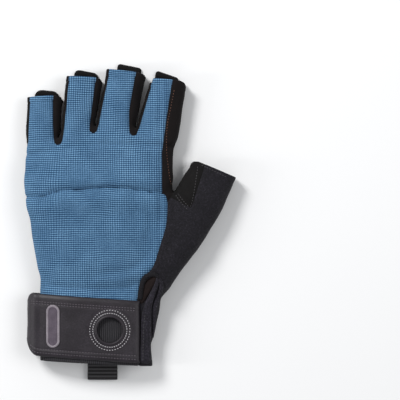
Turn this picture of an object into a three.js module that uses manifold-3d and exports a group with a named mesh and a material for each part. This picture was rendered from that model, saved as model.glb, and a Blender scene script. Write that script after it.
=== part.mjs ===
// A fingerless climbing glove for the left hand, lying palm down with its fingers along +Y.
// The back of the hand faces +Z and the thumb leans towards +X. Lengths are in millimetres.
// The glove is a hollow shell: a flattened hand, four finger tubes and a thumb tube, joined,
// hollowed and then cut along the seams into the panels that a real glove is sewn from.
// Pads, tabs, strap and loops are separate pieces that lie on the shell with a small gap.

import * as THREE from 'three';
import { mergeVertices } from 'three/addons/utils/BufferGeometryUtils.js';
import Module from 'manifold-3d';

const wasm = await Module();
wasm.setup();

// Driving dimensions of the hand
const palmWidth = 99; // across the knuckles, glove lying flat
const handLength = 143; // from the hem on the back to the root of the little finger's web
const knuckleHeight = 23; // the shell's height over the knuckles
const fingerLength = 58; // longest finger, from the finger line to its open end
const fingerHeight = 15; // height of a finger tube
const thumbWidth = 35; // widest part of the thumb, across its axis
const thumbHeight = 19.5; // highest part of the thumb
const shellWall = 1.5; // cloth or leather with its backing
const seamGap = 0.3; // space between neighbouring pieces

// Driving dimensions of the pads and tabs under the hand
const padThickness = 1.3; // pads, tabs and webbing between the palm and the floor
const tabReach = 4.6; // how far a finger tab stands beyond the open end
const tabSeat = 7; // how far a finger tab runs back under the finger

// Driving dimensions of the cuff
const bandTop = 47; // upper edge of the palm band
const bandHem = 11; // lower edge of the palm band
const gussetTop = 37; // upper edge of the elastic under the strap
const strapWidth = 40;
const strapThickness = 2;
const strapEnd = 26.4; // where the strap runs in beside the folded cuff edge
const strapMiddle = 19.6; // height of the strap's centre line at that end
const strapLean = 0.068; // rise of the strap for each millimetre towards the little finger
const strapLift = 0.4; // clearance between the strap and the cuff
const strapOverhang = 8.9; // how far the strap's turn stands out past the cuff
const strapTurn = 5.2; // radius of that turn, inside the strap, seen from the hem
const strapCorner = 8; // rounding of the strap's lower corner at the turn
const holeRadius = 8.2; // hole that takes a carabiner
const holeFromEnd = 18.8; // distance of the hole from the strap's end
const lipWidth = 1.7; // rolled edge round the hole
const lipRise = 1.1;
const collarWall = 0.7; // the rolled edge's collar inside the hole
const badgeWidth = 9;
const badgeHeight = 28;
const badgeRise = 0.9;
const badgeFromEnd = 55.8;
const edgeFoldRise = 1.3; // folded cloth edge beside the strap

// Driving dimensions of the webbing and tapes at the hem
const webbingWidth = 19.8;
const webbingMiddle = 2; // its place across the cuff
const webbingReach = 24.2; // length of the loop below the palm band
const webbingSpace = 1.2; // space inside the flattened loop
const tapeWidth = 12;
const tapeReach = 6.6;
const tapeThickness = 1;
const tapeSpace = 1;
const tapeTurn = 12; // degrees that the two small tapes splay
const tapeOffset = 20.6; // distance of each small tape from the webbing's middle

// The shell's shape in cross-section
const widestShare = 0.42; // share of the height where a section is widest
const topPower = 2.4; // superellipse powers above and below that height
const bottomPower = 3;
const bottomDepth = 1.15; // the lower half runs this much too deep and is cut flat
const sectionSides = 22;

const palmLift = padThickness + seamGap; // height of the shell's flat underside
const innerFloor = palmLift + shellWall;
const backSeam = palmLift + widestShare * fingerHeight; // back panels lie above this height
const sideSeam = innerFloor + 1.2; // side strips of the fingers lie above this height
const skyHeight = 3 * knuckleHeight;
const fingerLine = 0.928 * handLength;

// Cross-sections of the hand from hem to finger webs: along is a share of the hand length,
// left and right are shares of the palm width, high is a share of the knuckle height.
const handRows = [
  { along: -0.006, left: -0.389, right: 0.354, high: 0.74, turn: 2.8 },
  { along: 0.315, left: -0.389, right: 0.354, high: 0.74, turn: 0 },
  { along: 0.37, left: -0.388, right: 0.358, high: 0.78, turn: 0 },
  { along: 0.438, left: -0.41, right: 0.393, high: 0.87, turn: 0 },
  { along: 0.522, left: -0.43, right: 0.446, high: 0.93, turn: 0 },
  { along: 0.605, left: -0.447, right: 0.487, high: 0.97, turn: 0 },
  { along: 0.688, left: -0.467, right: 0.493, high: 0.99, turn: 0 },
  { along: 0.745, left: -0.482, right: 0.492, high: 0.99, turn: 0 },
  { along: 0.785, left: -0.491, right: 0.493, high: 0.95, turn: 0 },
  { along: 0.825, left: -0.497, right: 0.495, high: 1, turn: 0 },
  { along: 0.875, left: -0.499, right: 0.499, high: 0.94, turn: 0 },
  { along: 0.937, left: -0.497, right: 0.507, high: 0.83, turn: 0 },
  { along: 0.992, left: -0.493, right: 0.513, high: 0.71, turn: 0 },
  { along: 1.002, left: -0.379, right: 0.394, high: 0.69, turn: 0 },
  { along: 1.021, left: -0.141, right: 0.394, high: 0.67, turn: 0 },
  { along: 1.044, left: -0.136, right: 0.394, high: 0.65, turn: 0 },
  { along: 1.063, left: -0.126, right: 0.116, high: 0.64, turn: 0 },
];

// Finger tubes: places and widths are shares of the palm width, reach of the finger length
// and high of the finger height. Lean is the slope of the open end. The strips are the widths
// of the dark side strip at the root, the middle and the end. Web is where the slit beside the
// finger ends, a share of the hand length. Tab columns are shares of the tube's own width.
const fingers = [
  { name: 'little', rootAt: -0.384, tipAt: -0.363, rootWidth: 0.227, tipWidth: 0.229,
    reach: 0.717, high: 0.94, lean: 0.06, strips: [0.019, 0.045, 0.055], web: 0.997,
    tabAt: 0.05, tabWidth: 0.74, tabRound: 0.3, tabSlant: -0.05 },
  { name: 'ring', rootAt: -0.167, tipAt: -0.098, rootWidth: 0.212, tipWidth: 0.237,
    reach: 0.936, high: 1, lean: -0.06, strips: [0.022, 0.033, 0.038], web: 1.052,
    tabAt: 0.03, tabWidth: 0.69, tabRound: 0.22, tabSlant: -0.06 },
  { name: 'middle', rootAt: 0.063, tipAt: 0.183, rootWidth: 0.268, tipWidth: 0.261,
    reach: 1, high: 1.02, lean: -0.12, strips: [-0.012, 0.06, 0.066], web: 1.039,
    tabAt: 0.045, tabWidth: 0.62, tabRound: 0.12, tabSlant: 0 },
  { name: 'index', rootAt: 0.346, tipAt: 0.461, rootWidth: 0.316, tipWidth: 0.238,
    reach: 0.905, high: 1, lean: -0.1, strips: [0.089, 0.093, 0.091],
    tabAt: -0.06, tabWidth: 0.67, tabRound: 0.12, tabSlant: -0.12 },
];
const palmEdge = shellWall + 0.2; // palm leather that shows from above on the outer sides
const stripMiddle = 0.57; // share of a finger where the middle strip width is measured
const tipHeight = 0.97; // height of a finger's open end, a share of its height at the root

// Cross-sections of the thumb from its open end down into the cuff: at is a share of the palm
// width, along of the hand length, wide of the thumb width and high of the thumb height. Turn
// is the angle in degrees from +Y towards +X.
const thumbRows = [
  { at: 0.767, along: 0.886, turn: 23, wide: 0.869, high: 0.77 },
  { at: 0.657, along: 0.734, turn: 27, wide: 0.96, high: 0.9 },
  { at: 0.513, along: 0.586, turn: 32, wide: 1, high: 1 },
  { at: 0.346, along: 0.424, turn: 35, wide: 0.971, high: 0.95 },
  { at: 0.273, along: 0.322, turn: 28, wide: 0.857, high: 0.74 },
  { at: 0.288, along: 0.185, turn: 10, wide: 0.543, high: 0.69 },
  { at: 0.273, along: 0.07, turn: 3, wide: 0.44, high: 0.62 },
];

// Seams in the hand's own measure: along is a share of the hand length, across runs from -1 at
// the little finger's side to 1 at the thumb's side.
const beyondHand = 1.2; // well outside the hand, in that measure
const webSide = 0.93; // where the little finger's own edge begins
const knuckleSeam = [
  [0.755, -1.2], [0.762, -0.75], [0.776, -0.62], [0.785, -0.47], [0.79, -0.22],
  [0.799, 0.11], [0.794, 0.4], [0.785, 0.58], [0.773, 0.86],
];
const backEdge = [
  [0.771, 0.9], [0.745, 0.925], [0.715, 0.93], [0.63, 0.913], [0.55, 0.896], [0.49, 0.912],
  [0.43, 0.922], [0.383, 0.82], [0.355, 0.785], [0.3, 0.74],
];
const crotchSeam = [[0.735, 0.5], [0.735, 0.93], [0.768, 1]];
const crotchGap = [[0.93, 1.14], [1.4, 1.5]]; // between index finger and thumb, as for the pads
const thenarSeam = [[0.757, 0.9], [0.643, 0.695], [0.536, 0.568], [0.474, 0.537]];
const wristGusset = [
  [0.27, 0.76], [0.3, 0.8], [0.36, 0.85], [0.395, 0.98], [0.405, 1.05],
  [0.375, 1.1], [0.33, 1.02], [0.27, 0.86],
];
const edgeFold = [
  [-0.03, 0.79], [0.27, 0.79], [0.335, 0.87], [0.372, 0.97], [0.38, 1.04],
  [0.35, 1.06], [0.3, 0.975], [0.25, 0.92], [-0.03, 0.94],
];

// Seams in the thumb's own measure: the first number counts rows of the thumb table from the
// open end, the second runs from -1 on the finger side to 1 on the outer side.
const terryOnPalm = [[3.9, -0.6], [2.6, -0.3], [2, 0.1], [1.5, 0.42], [1, 0.6], [0, 0.79]];
const thumbEnd = terryOnPalm[terryOnPalm.length - 1][1];
const terryOnBack = [[1.22, -0.09], [0, -0.43]];

// Pads under the palm, in the hand's own measure
const upperPad = [
  [0.915, -0.7], [0.91, -0.2], [0.917, 0.35], [0.945, 0.62], [0.985, 0.86], [1.015, 0.74],
  [1.045, 0.5], [1.05, 0.1], [1.05, -0.15], [1.02, -0.38], [0.985, -0.62], [0.95, -0.76],
];
const indexPad = [
  [0.775, 0.8], [0.775, 0.6], [0.8, 0.42], [0.84, 0.34], [0.88, 0.34], [0.905, 0.4],
  [0.935, 0.64], [0.972, 0.86], [0.94, 0.88], [0.85, 0.88],
];
const heelPad = [
  [0.36, -0.72], [0.48, -0.78], [0.6, -0.8], [0.69, -0.74], [0.715, -0.3], [0.7, 0.3],
  [0.66, 0.5], [0.56, 0.42], [0.46, 0.36], [0.36, 0.38],
];

// Colours and finishes
const finishes = {
  blueKnit: { color: 0x4a80b4, roughness: 0.85, metalness: 0 },
  blackSuede: { color: 0x262322, roughness: 0.92, metalness: 0 },
  blackTerry: { color: 0x1f1f27, roughness: 1, metalness: 0 },
  strapLeather: { color: 0x2d2c2f, roughness: 0.55, metalness: 0 },
  elastic: { color: 0x1b1b1d, roughness: 0.9, metalness: 0 },
  webbing: { color: 0x19191a, roughness: 0.8, metalness: 0 },
  stitchGrey: { color: 0x77727a, roughness: 0.6, metalness: 0 },
};

const degrees = Math.PI / 180;
const lerp = THREE.MathUtils.lerp;

// Solids and meshes

function toSolid(geometry) {
  geometry.deleteAttribute('normal');
  geometry.deleteAttribute('uv');
  const merged = mergeVertices(geometry, 1e-4);
  return new wasm.Manifold(new wasm.Mesh({
    numProp: 3,
    vertProperties: new Float32Array(merged.attributes.position.array),
    triVerts: new Uint32Array(merged.index.array),
  }));
}

// The triangles of the largest body of a solid, so that a seam leaves no loose scrap
function mainBody(solid) {
  const mesh = solid.getMesh();
  const count = mesh.triVerts.length / 3;
  const parent = Array.from({ length: mesh.vertProperties.length / 3 }, (_, i) => i);
  const root = (i) => {
    while (parent[i] !== i) i = parent[i] = parent[parent[i]];
    return i;
  };
  for (let t = 0; t < count; t += 1) {
    const [a, b, c] = mesh.triVerts.subarray(3 * t, 3 * t + 3);
    parent[root(a)] = root(b);
    parent[root(b)] = root(c);
  }
  const groups = new Map();
  for (let t = 0; t < count; t += 1) {
    const key = root(mesh.triVerts[3 * t]);
    if (!groups.has(key)) groups.set(key, []);
    groups.get(key).push(...mesh.triVerts.subarray(3 * t, 3 * t + 3));
  }
  const volume = (indices) => {
    const p = indices.map((i) => new THREE.Vector3().fromArray(mesh.vertProperties, 3 * i));
    let sum = 0;
    for (let i = 0; i < p.length; i += 3) sum += p[i].dot(p[i + 1].clone().cross(p[i + 2]));
    return sum;
  };
  const larger = (best, next) => (volume(next) > volume(best) ? next : best);
  const indices = [...groups.values()].reduce(larger);
  const geometry = new THREE.BufferGeometry();
  const positions = [];
  const fresh = new Map();
  const index = indices.map((i) => {
    if (!fresh.has(i)) {
      fresh.set(i, fresh.size);
      positions.push(...mesh.vertProperties.subarray(3 * i, 3 * i + 3));
    }
    return fresh.get(i);
  });
  geometry.setAttribute('position', new THREE.Float32BufferAttribute(positions, 3));
  geometry.setIndex(index);
  geometry.computeVertexNormals();
  return geometry;
}

function joinAll(solids) {
  return solids.reduce((sum, next) => sum.add(next));
}

// Outlines in the plane of the floor

function signedArea(outline) {
  return outline.reduce((sum, [x, y], i) => {
    const [nx, ny] = outline[(i + 1) % outline.length];
    return sum + x * ny - nx * y;
  }, 0) / 2;
}

function counterClockwise(outline) {
  return signedArea(outline) < 0 ? [...outline].reverse() : outline;
}

// Moves each edge of an outline outwards and meets the moved edges again at the corners
function grownOutline(outline, distance) {
  const points = counterClockwise(outline).map(([x, y]) => new THREE.Vector2(x, y));
  return points.map((point, i) => {
    const before = points[(i + points.length - 1) % points.length];
    const after = points[(i + 1) % points.length];
    const inward = point.clone().sub(before).normalize();
    const outward = after.clone().sub(point).normalize();
    const side = new THREE.Vector2(inward.y + outward.y, -inward.x - outward.x).normalize();
    const spread = Math.max(0.35, side.x * outward.y - side.y * outward.x);
    return [point.x + side.x * distance / spread, point.y + side.y * distance / spread];
  });
}

function prism(outline, low, high) {
  const shape = new THREE.Shape(counterClockwise(outline).map(([x, y]) => new THREE.Vector2(x, y)));
  const geometry = new THREE.ExtrudeGeometry(shape, { depth: high - low, bevelEnabled: false });
  geometry.translate(0, 0, low);
  return toSolid(geometry);
}

// Extrudes a profile drawn in the plane across the hand, with its points as [x, z]
function acrossPrism(profile, from, to) {
  const shape = new THREE.Shape(counterClockwise(profile).map(([x, z]) => new THREE.Vector2(x, z)));
  const geometry = new THREE.ExtrudeGeometry(shape, { depth: to - from, bevelEnabled: false });
  geometry.rotateX(Math.PI / 2);
  geometry.translate(0, to, 0);
  return toSolid(geometry);
}

function arcPoints(centre, radius, fromAngle, toAngle, steps) {
  return Array.from({ length: steps + 1 }, (_, i) => {
    const angle = lerp(fromAngle, toAngle, i / steps) * degrees;
    return [centre[0] + radius * Math.cos(angle), centre[1] + radius * Math.sin(angle)];
  });
}

// Lofted tubes

// One ring of a tube. A station has a place, a turn, a half width and a height over the palm.
function sectionRing(station, grow) {
  const across = [Math.cos(station.turn * degrees), -Math.sin(station.turn * degrees)];
  const rise = (1 - widestShare) * station.height + grow;
  const depth = bottomDepth * widestShare * station.height + grow;
  const middle = palmLift + widestShare * station.height;
  return Array.from({ length: sectionSides }, (_, i) => {
    const angle = (2 * Math.PI * i) / sectionSides;
    const c = Math.cos(angle);
    const s = Math.sin(angle);
    const power = 2 / (s >= 0 ? topPower : bottomPower);
    const reach = Math.sign(c) * Math.abs(c) ** power * (station.half + grow);
    const lift = Math.sign(s) * Math.abs(s) ** power * (s >= 0 ? rise : depth);
    return [station.x + across[0] * reach, station.y + across[1] * reach, middle + lift];
  });
}

function loft(stations, grow) {
  const rings = stations.map((station) => sectionRing(station, grow));
  const index = [];
  for (let r = 0; r < rings.length - 1; r += 1) {
    for (let i = 0; i < sectionSides; i += 1) {
      const a = r * sectionSides + i;
      const b = r * sectionSides + ((i + 1) % sectionSides);
      index.push(a, a + sectionSides, b, b, a + sectionSides, b + sectionSides);
    }
  }
  const last = (rings.length - 1) * sectionSides;
  for (let i = 1; i < sectionSides - 1; i += 1) {
    index.push(0, i, i + 1, last, last + i + 1, last + i);
  }
  const geometry = new THREE.BufferGeometry();
  geometry.setAttribute('position', new THREE.Float32BufferAttribute(rings.flat(2), 3));
  geometry.setIndex(index);
  return toSolid(geometry);
}

// Stations from the tables

function handStation(row) {
  return {
    x: (palmWidth * (row.left + row.right)) / 2,
    y: handLength * row.along,
    half: (palmWidth * (row.right - row.left)) / 2,
    height: knuckleHeight * row.high,
    turn: row.turn,
  };
}

function thumbStation(row) {
  return {
    x: palmWidth * row.at,
    y: handLength * row.along,
    half: (thumbWidth * row.wide) / 2,
    height: thumbHeight * row.high,
    turn: row.turn,
  };
}

function mixStations(a, b, share) {
  const mixed = {};
  for (const key of Object.keys(a)) mixed[key] = lerp(a[key], b[key], share);
  return mixed;
}

const handStations = handRows.map(handStation);
const thumbStations = thumbRows.map(thumbStation);

function fingerStations(finger) {
  const root = {
    x: palmWidth * finger.rootAt,
    y: fingerLine,
    half: (palmWidth * finger.rootWidth) / 2,
    height: fingerHeight * finger.high,
    turn: 0,
  };
  const tip = {
    x: palmWidth * finger.tipAt,
    y: fingerLine + fingerLength * finger.reach,
    half: (palmWidth * finger.tipWidth) / 2,
    height: tipHeight * fingerHeight * finger.high,
    turn: -Math.atan(finger.lean) / degrees,
  };
  return [root, tip];
}

// A point of the hand, by its share of the hand length and its place across
function handPoint([along, across]) {
  const y = along * handLength;
  const next = Math.max(1, handStations.findIndex((station) => station.y >= y));
  const a = handStations[next - 1];
  const b = handStations[next];
  const station = mixStations(a, b, (y - a.y) / (b.y - a.y));
  return [station.x + across * station.half, y];
}

// A point of the palm's widest part, whose measure doesn't narrow at the webs
function palmPoint([along, across]) {
  return [across * palmWidth / 2, along * handLength];
}

function thumbPoint([place, across]) {
  const first = Math.min(Math.max(Math.floor(place), 0), thumbStations.length - 2);
  const station = mixStations(thumbStations[first], thumbStations[first + 1], place - first);
  const angle = station.turn * degrees;
  return [
    station.x + across * station.half * Math.cos(angle),
    station.y - across * station.half * Math.sin(angle),
  ];
}

// The two edges of a finger's back panel at a share of the finger, from root 0 to open end 1
function fingerEdges(finger, share) {
  const [root, tip] = fingerStations(finger);
  const station = mixStations(root, tip, share);
  const [rootStrip, middleStrip, tipStrip] = finger.strips;
  const strip = share < stripMiddle
    ? lerp(rootStrip, middleStrip, share / stripMiddle)
    : lerp(middleStrip, tipStrip, (share - stripMiddle) / (1 - stripMiddle));
  const slope = Math.tan(-station.turn * degrees);
  const left = station.x - station.half + palmEdge;
  const right = station.x + station.half - palmWidth * strip;
  return {
    y: station.y,
    left: [left, station.y + slope * (left - station.x)],
    right: [right, station.y + slope * (right - station.x)],
  };
}

// The shell

function openEnd(stations, at, margin) {
  const end = at === 'first' ? stations[0] : stations[stations.length - 1];
  const next = at === 'first' ? stations[1] : stations[stations.length - 2];
  const length = Math.hypot(end.x - next.x, end.y - next.y);
  const longer = mixStations(next, end, 1 + margin / length);
  longer.turn = end.turn;
  longer.half = end.half;
  longer.height = end.height;
  return longer;
}

function trimmed(solid, low) {
  const reach = 4 * handLength;
  const room = [[-reach, -reach], [reach, -reach], [reach, reach], [-reach, reach]];
  return solid.intersect(prism(room, low, skyHeight));
}

function outerBody(grow) {
  const handLoft = loft(handStations, grow);
  const fingerLofts = fingers.map((finger) => loft(fingerStations(finger), grow));
  const thumbLoft = loft([...thumbStations].reverse(), grow);
  return joinAll([handLoft, ...fingerLofts, thumbLoft]);
}

function hollowBody() {
  const margin = 4 * shellWall;
  const lastRows = 4;
  const handRowsInside = handStations.map((station, i) => {
    const atWeb = i >= handStations.length - lastRows;
    return { ...station, y: station.y - (atWeb ? shellWall : 0) };
  });
  const handHollow = loft([openEnd(handRowsInside, 'first', margin), ...handRowsInside], -shellWall);
  const fingerHollows = fingers.map((finger) => {
    const [root, tip] = fingerStations(finger);
    return loft([root, tip, openEnd([root, tip], 'last', margin)], -shellWall);
  });
  const thumbRowsUp = [...thumbStations].reverse();
  const thumbHollow = loft([...thumbRowsUp, openEnd(thumbRowsUp, 'last', margin)], -shellWall);
  return joinAll([handHollow, ...fingerHollows, thumbHollow]);
}

const shell = trimmed(outerBody(0), palmLift).subtract(trimmed(hollowBody(), innerFloor));

// Outlines of the panels

function backKnuckleOutline() {
  const outline = knuckleSeam.map(handPoint).reverse();
  outline.push(handPoint([webSide, -beyondHand]));
  fingers.forEach((finger, i) => {
    const tip = fingerEdges(finger, 1.05);
    outline.push(fingerEdges(finger, stripMiddle).left, tip.left, tip.right);
    outline.push(fingerEdges(finger, stripMiddle).right);
    const neighbour = fingers[i + 1];
    if (neighbour) outline.push(...slitEnd(finger, neighbour));
  });
  outline.push(fingerEdges(fingers[3], 0.1).right);
  return outline;
}

// The round end of the slit between two fingers
function slitEnd(finger, neighbour) {
  const bottom = finger.web * handLength;
  const shareAt = (f, y) => (y - fingerLine) / (fingerLength * f.reach);
  const probe = bottom + 0.018 * palmWidth;
  const from = fingerEdges(finger, shareAt(finger, probe)).right[0];
  const to = fingerEdges(neighbour, shareAt(neighbour, probe)).left[0];
  const radius = (to - from) / 2;
  return arcPoints([(from + to) / 2, bottom + radius], radius, 180, 360, 6);
}

function backLowerOutline() {
  const low = gussetTop + seamGap;
  const [cornerX] = handPoint([0.27, 0.72]);
  return [
    [-beyondHand * palmWidth, low], ...knuckleSeam.map(handPoint),
    ...backEdge.slice(1).map(handPoint), [cornerX, low],
  ];
}

function fourchetteZone(finger, neighbour) {
  const beyond = 1.2;
  const below = (finger.web - 0.05) * handLength;
  const centre = (f, share) => {
    const station = mixStations(...fingerStations(f), share);
    return [station.x, station.y];
  };
  return [
    [centre(finger, 0)[0], below], [centre(neighbour, 0)[0], below],
    centre(neighbour, beyond), centre(finger, beyond),
  ];
}

function indexSideZone() {
  const [root, tip] = fingerStations(fingers[3]);
  const end = mixStations(root, tip, 1.2);
  return [
    ...crotchSeam.map(handPoint), ...crotchGap.map(palmPoint), [end.x, end.y], [root.x, root.y],
  ];
}

// Outer corner of the thumb's open end, well beyond the shell
function beyondThumb(across) {
  return thumbPoint([-0.4, across]);
}

function thumbStripOutline() {
  return [
    thumbPoint([1.22, -1.15]), ...terryOnBack.map(thumbPoint), beyondThumb(-0.43),
    beyondThumb(-1.6), thumbPoint([0.9, -1.3]),
  ];
}

function thumbPalmOutline() {
  return [
    ...thenarSeam.map(handPoint), ...terryOnPalm.map(thumbPoint), beyondThumb(thumbEnd),
    beyondThumb(-1.6), thumbPoint([0.9, -1.15]), handPoint([0.772, 1.005]),
  ];
}

function terryPalmOutline() {
  const low = bandTop + seamGap;
  const seam = terryOnPalm.map(thumbPoint);
  return [
    [seam[0][0], low], ...seam.filter(([, y]) => y > low + seamGap), beyondThumb(thumbEnd),
    beyondThumb(2.4), [palmWidth * 1.1, low],
  ];
}

function terryBackOutline() {
  const [crotchX, crotchY] = handPoint([0.77, 0.8]);
  return [
    [strapEnd + seamGap, -handLength * 0.1], [palmWidth * 1.1, -handLength * 0.1],
    [palmWidth * 1.1, handLength], [palmWidth * 0.6, handLength], [crotchX, crotchY],
    handPoint([0.45, 0.6]), [strapEnd + seamGap, gussetTop],
  ];
}

const far = 3 * handLength;
const belowCuff = -0.1 * handLength;

// Panels in the order in which they claim the shell. Each later panel keeps a seam gap to the
// earlier ones, so only the seams that show need an outline of their own.
const panelPlan = [
  {
    name: 'back_knuckle_panel',
    finish: 'blueKnit',
    zones: [[backKnuckleOutline(), backSeam, skyHeight]],
  },
  {
    name: 'back_lower_panel',
    finish: 'blueKnit',
    zones: [[backLowerOutline(), backSeam, skyHeight]],
  },
  {
    name: 'cuff_gusset',
    finish: 'elastic',
    zones: [[
      [[-palmWidth, belowCuff], [strapEnd, belowCuff], [strapEnd, gussetTop], [-palmWidth, gussetTop]],
      backSeam, skyHeight,
    ]],
  },
  {
    name: 'wrist_gusset',
    finish: 'blackSuede',
    zones: [[wristGusset.map(handPoint), backSeam, skyHeight]],
  },
  ...fingers.slice(0, 3).map((finger, i) => ({
    name: `fourchette_${finger.name}_${fingers[i + 1].name}`,
    finish: 'blackSuede',
    zones: [[fourchetteZone(finger, fingers[i + 1]), sideSeam, skyHeight]],
  })),
  {
    name: 'index_side_panel',
    finish: 'blackSuede',
    zones: [[indexSideZone(), sideSeam, skyHeight]],
  },
  {
    name: 'thumb_palm_panel',
    finish: 'blackSuede',
    zones: [
      [thumbStripOutline(), backSeam, skyHeight],
      [thumbPalmOutline(), 0, backSeam],
    ],
  },
  {
    name: 'thumb_terry_panel',
    finish: 'blackTerry',
    zones: [
      [terryBackOutline(), backSeam, skyHeight],
      [terryPalmOutline(), 0, backSeam],
    ],
  },
  {
    name: 'cuff_palm_band',
    finish: 'elastic',
    zones: [[[[-far, bandHem], [far, bandHem], [far, bandTop], [-far, bandTop]], 0, backSeam]],
  },
  {
    name: 'palm_panel',
    finish: 'blackSuede',
    zones: [
      [[[-far, bandTop], [far, bandTop], [far, far], [-far, far]], 0, backSeam],
      [[[-far, bandTop], [-0.3 * palmWidth, bandTop], [-0.3 * palmWidth, far], [-far, far]],
        0, skyHeight],
    ],
  },
];

function cutPanels(plan) {
  let rest = shell;
  return plan.map((panel) => {
    const claim = joinAll(panel.zones.map(([outline, low, high]) => prism(outline, low, high)));
    const solid = rest.intersect(claim);
    for (const [outline, low, high] of panel.zones) {
      rest = rest.subtract(prism(grownOutline(outline, seamGap), low - seamGap, high + seamGap));
    }
    return { name: panel.name, finish: panel.finish, solid };
  });
}

// Pads, tabs and the folded cuff edge

function padPieces() {
  const pads = [
    { name: 'palm_pad_upper', outline: upperPad, measure: palmPoint },
    { name: 'palm_pad_index', outline: indexPad, measure: palmPoint },
    { name: 'palm_pad_heel', outline: heelPad, measure: handPoint },
  ];
  return pads.map(({ name, outline, measure }) => (
    { name, finish: 'blackSuede', solid: prism(outline.map(measure), 0, padThickness) }
  ));
}

function fingerTab(finger) {
  const [root, tip] = fingerStations(finger);
  const half = tip.half * finger.tabWidth;
  const round = 2 * half * finger.tabRound;
  const corners = [
    ...arcPoints([half - round, tabReach - round], round, 0, 90, 4),
    ...arcPoints([round - half, tabReach - round], round, 90, 180, 4),
    [-half, -tabSeat],
    [half, -tabSeat],
  ];
  const lean = Math.atan2(tip.x - root.x, tip.y - root.y);
  const outline = corners.map(([x, y]) => {
    const slanted = y > 0 ? y + finger.tabSlant * x : y;
    return [
      tip.x + 2 * tip.half * finger.tabAt + x * Math.cos(lean) + slanted * Math.sin(lean),
      tip.y - x * Math.sin(lean) + slanted * Math.cos(lean),
    ];
  });
  const solid = prism(outline, 0, padThickness);
  return { name: `finger_tab_${finger.name}`, finish: 'blackSuede', solid };
}

function cuffEdgeFold() {
  const inner = outerBody(seamGap);
  const outer = outerBody(seamGap + edgeFoldRise);
  const zone = prism(edgeFold.map(handPoint), backSeam + 2 * shellWall, skyHeight);
  return { name: 'cuff_edge_fold', finish: 'blackTerry', solid: outer.subtract(inner).intersect(zone) };
}

// Strap

const cuffStation = handStations[1];
const cuffLeft = cuffStation.x - cuffStation.half;
const cuffMiddle = palmLift + widestShare * cuffStation.height;

// Height of the cuff's outside at a place across it, above or below its widest part
function cuffHeightAt(x, side) {
  const share = Math.min(1, Math.abs(x - cuffStation.x) / cuffStation.half);
  if (side > 0) {
    const rise = (1 - widestShare) * cuffStation.height;
    return cuffMiddle + rise * (1 - share ** topPower) ** (1 / topPower);
  }
  const depth = bottomDepth * widestShare * cuffStation.height;
  return cuffMiddle - depth * (1 - share ** bottomPower) ** (1 / bottomPower);
}

// The strap's inner face seen from the hem: over the cuff, round the little finger's side and
// back to the edge of the palm band
function strapPath() {
  const path = [];
  const leave = cuffStation.x - 0.8 * cuffStation.half;
  const steps = 11;
  for (let i = 0; i <= steps; i += 1) {
    const x = lerp(strapEnd, leave, i / steps);
    path.push([x, cuffHeightAt(x, 1) + strapLift]);
  }
  const turnX = cuffLeft - strapOverhang + strapTurn + strapThickness;
  const turnHigh = cuffMiddle - strapThickness - padThickness;
  for (let angle = 105; angle <= 270; angle += 15) {
    const away = strapTurn * Math.cos(angle * degrees);
    path.push([turnX + away, cuffMiddle + turnHigh * Math.sin(angle * degrees)]);
  }
  const seat = cuffLeft + 0.06 * palmWidth;
  path.push([seat, cuffHeightAt(seat, -1) - seamGap]);
  return path;
}

// A ribbon that follows the strap's path between two distances outside its inner face
function ribbonProfile(inner, outer) {
  const path = strapPath().map(([x, z]) => new THREE.Vector2(x, z));
  const offset = (distance) => path.map((point, i) => {
    const before = path[Math.max(0, i - 1)];
    const after = path[Math.min(path.length - 1, i + 1)];
    const along = after.clone().sub(before).normalize();
    return [point.x + along.y * distance, point.y - along.x * distance];
  });
  return [...offset(inner), ...offset(outer).reverse()];
}

function ribbon(inner, outer) {
  return acrossPrism(ribbonProfile(inner, outer), belowCuff, 0.5 * handLength);
}

// Centre line of the strap in plan
function strapCentre(x) {
  return strapMiddle + (strapEnd - x) * strapLean;
}

function strapOutline() {
  const left = cuffLeft - 2 * strapOverhang;
  const turn = cuffLeft - strapOverhang;
  const half = strapWidth / 2;
  const corner = [turn + strapCorner, strapCentre(turn + strapCorner) - half + strapCorner];
  return [
    [strapEnd, strapCentre(strapEnd) + half],
    [left, strapCentre(left) + half],
    [left, corner[1]],
    ...arcPoints(corner, strapCorner, 180, 270, 5),
    [strapEnd, strapCentre(strapEnd) - half],
  ];
}

function holeCentre() {
  const x = strapEnd - holeFromEnd;
  return [x, strapCentre(x)];
}

function disc(radius) {
  return prism(arcPoints(holeCentre(), radius, 0, 345, 23), 0, skyHeight);
}

function strapPieces() {
  const collarRadius = holeRadius + collarWall;
  const strap = ribbon(0, strapThickness)
    .intersect(prism(strapOutline(), -skyHeight, skyHeight))
    .subtract(disc(collarRadius + seamGap));
  const lipLow = strapThickness + seamGap;
  const lip = ribbon(lipLow, lipLow + lipRise).intersect(disc(holeRadius + lipWidth));
  const collar = ribbon(0, lipLow + lipRise).intersect(disc(collarRadius));
  const badgeX = strapEnd - badgeFromEnd;
  const half = badgeWidth / 2;
  const run = badgeHeight / 2 - half;
  const badgeOutline = [
    ...arcPoints([badgeX, strapCentre(badgeX) + run], half, 0, 180, 8),
    ...arcPoints([badgeX, strapCentre(badgeX) - run], half, 180, 360, 8),
  ];
  const badge = ribbon(lipLow, lipLow + badgeRise).intersect(prism(badgeOutline, cuffMiddle, skyHeight));
  const ring = lip.add(collar).subtract(disc(holeRadius));
  return [
    { name: 'wrist_strap', finish: 'strapLeather', solid: strap },
    { name: 'strap_hole_ring', finish: 'strapLeather', solid: ring },
    { name: 'strap_badge', finish: 'stitchGrey', solid: badge },
  ];
}

// Webbing and tapes

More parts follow.
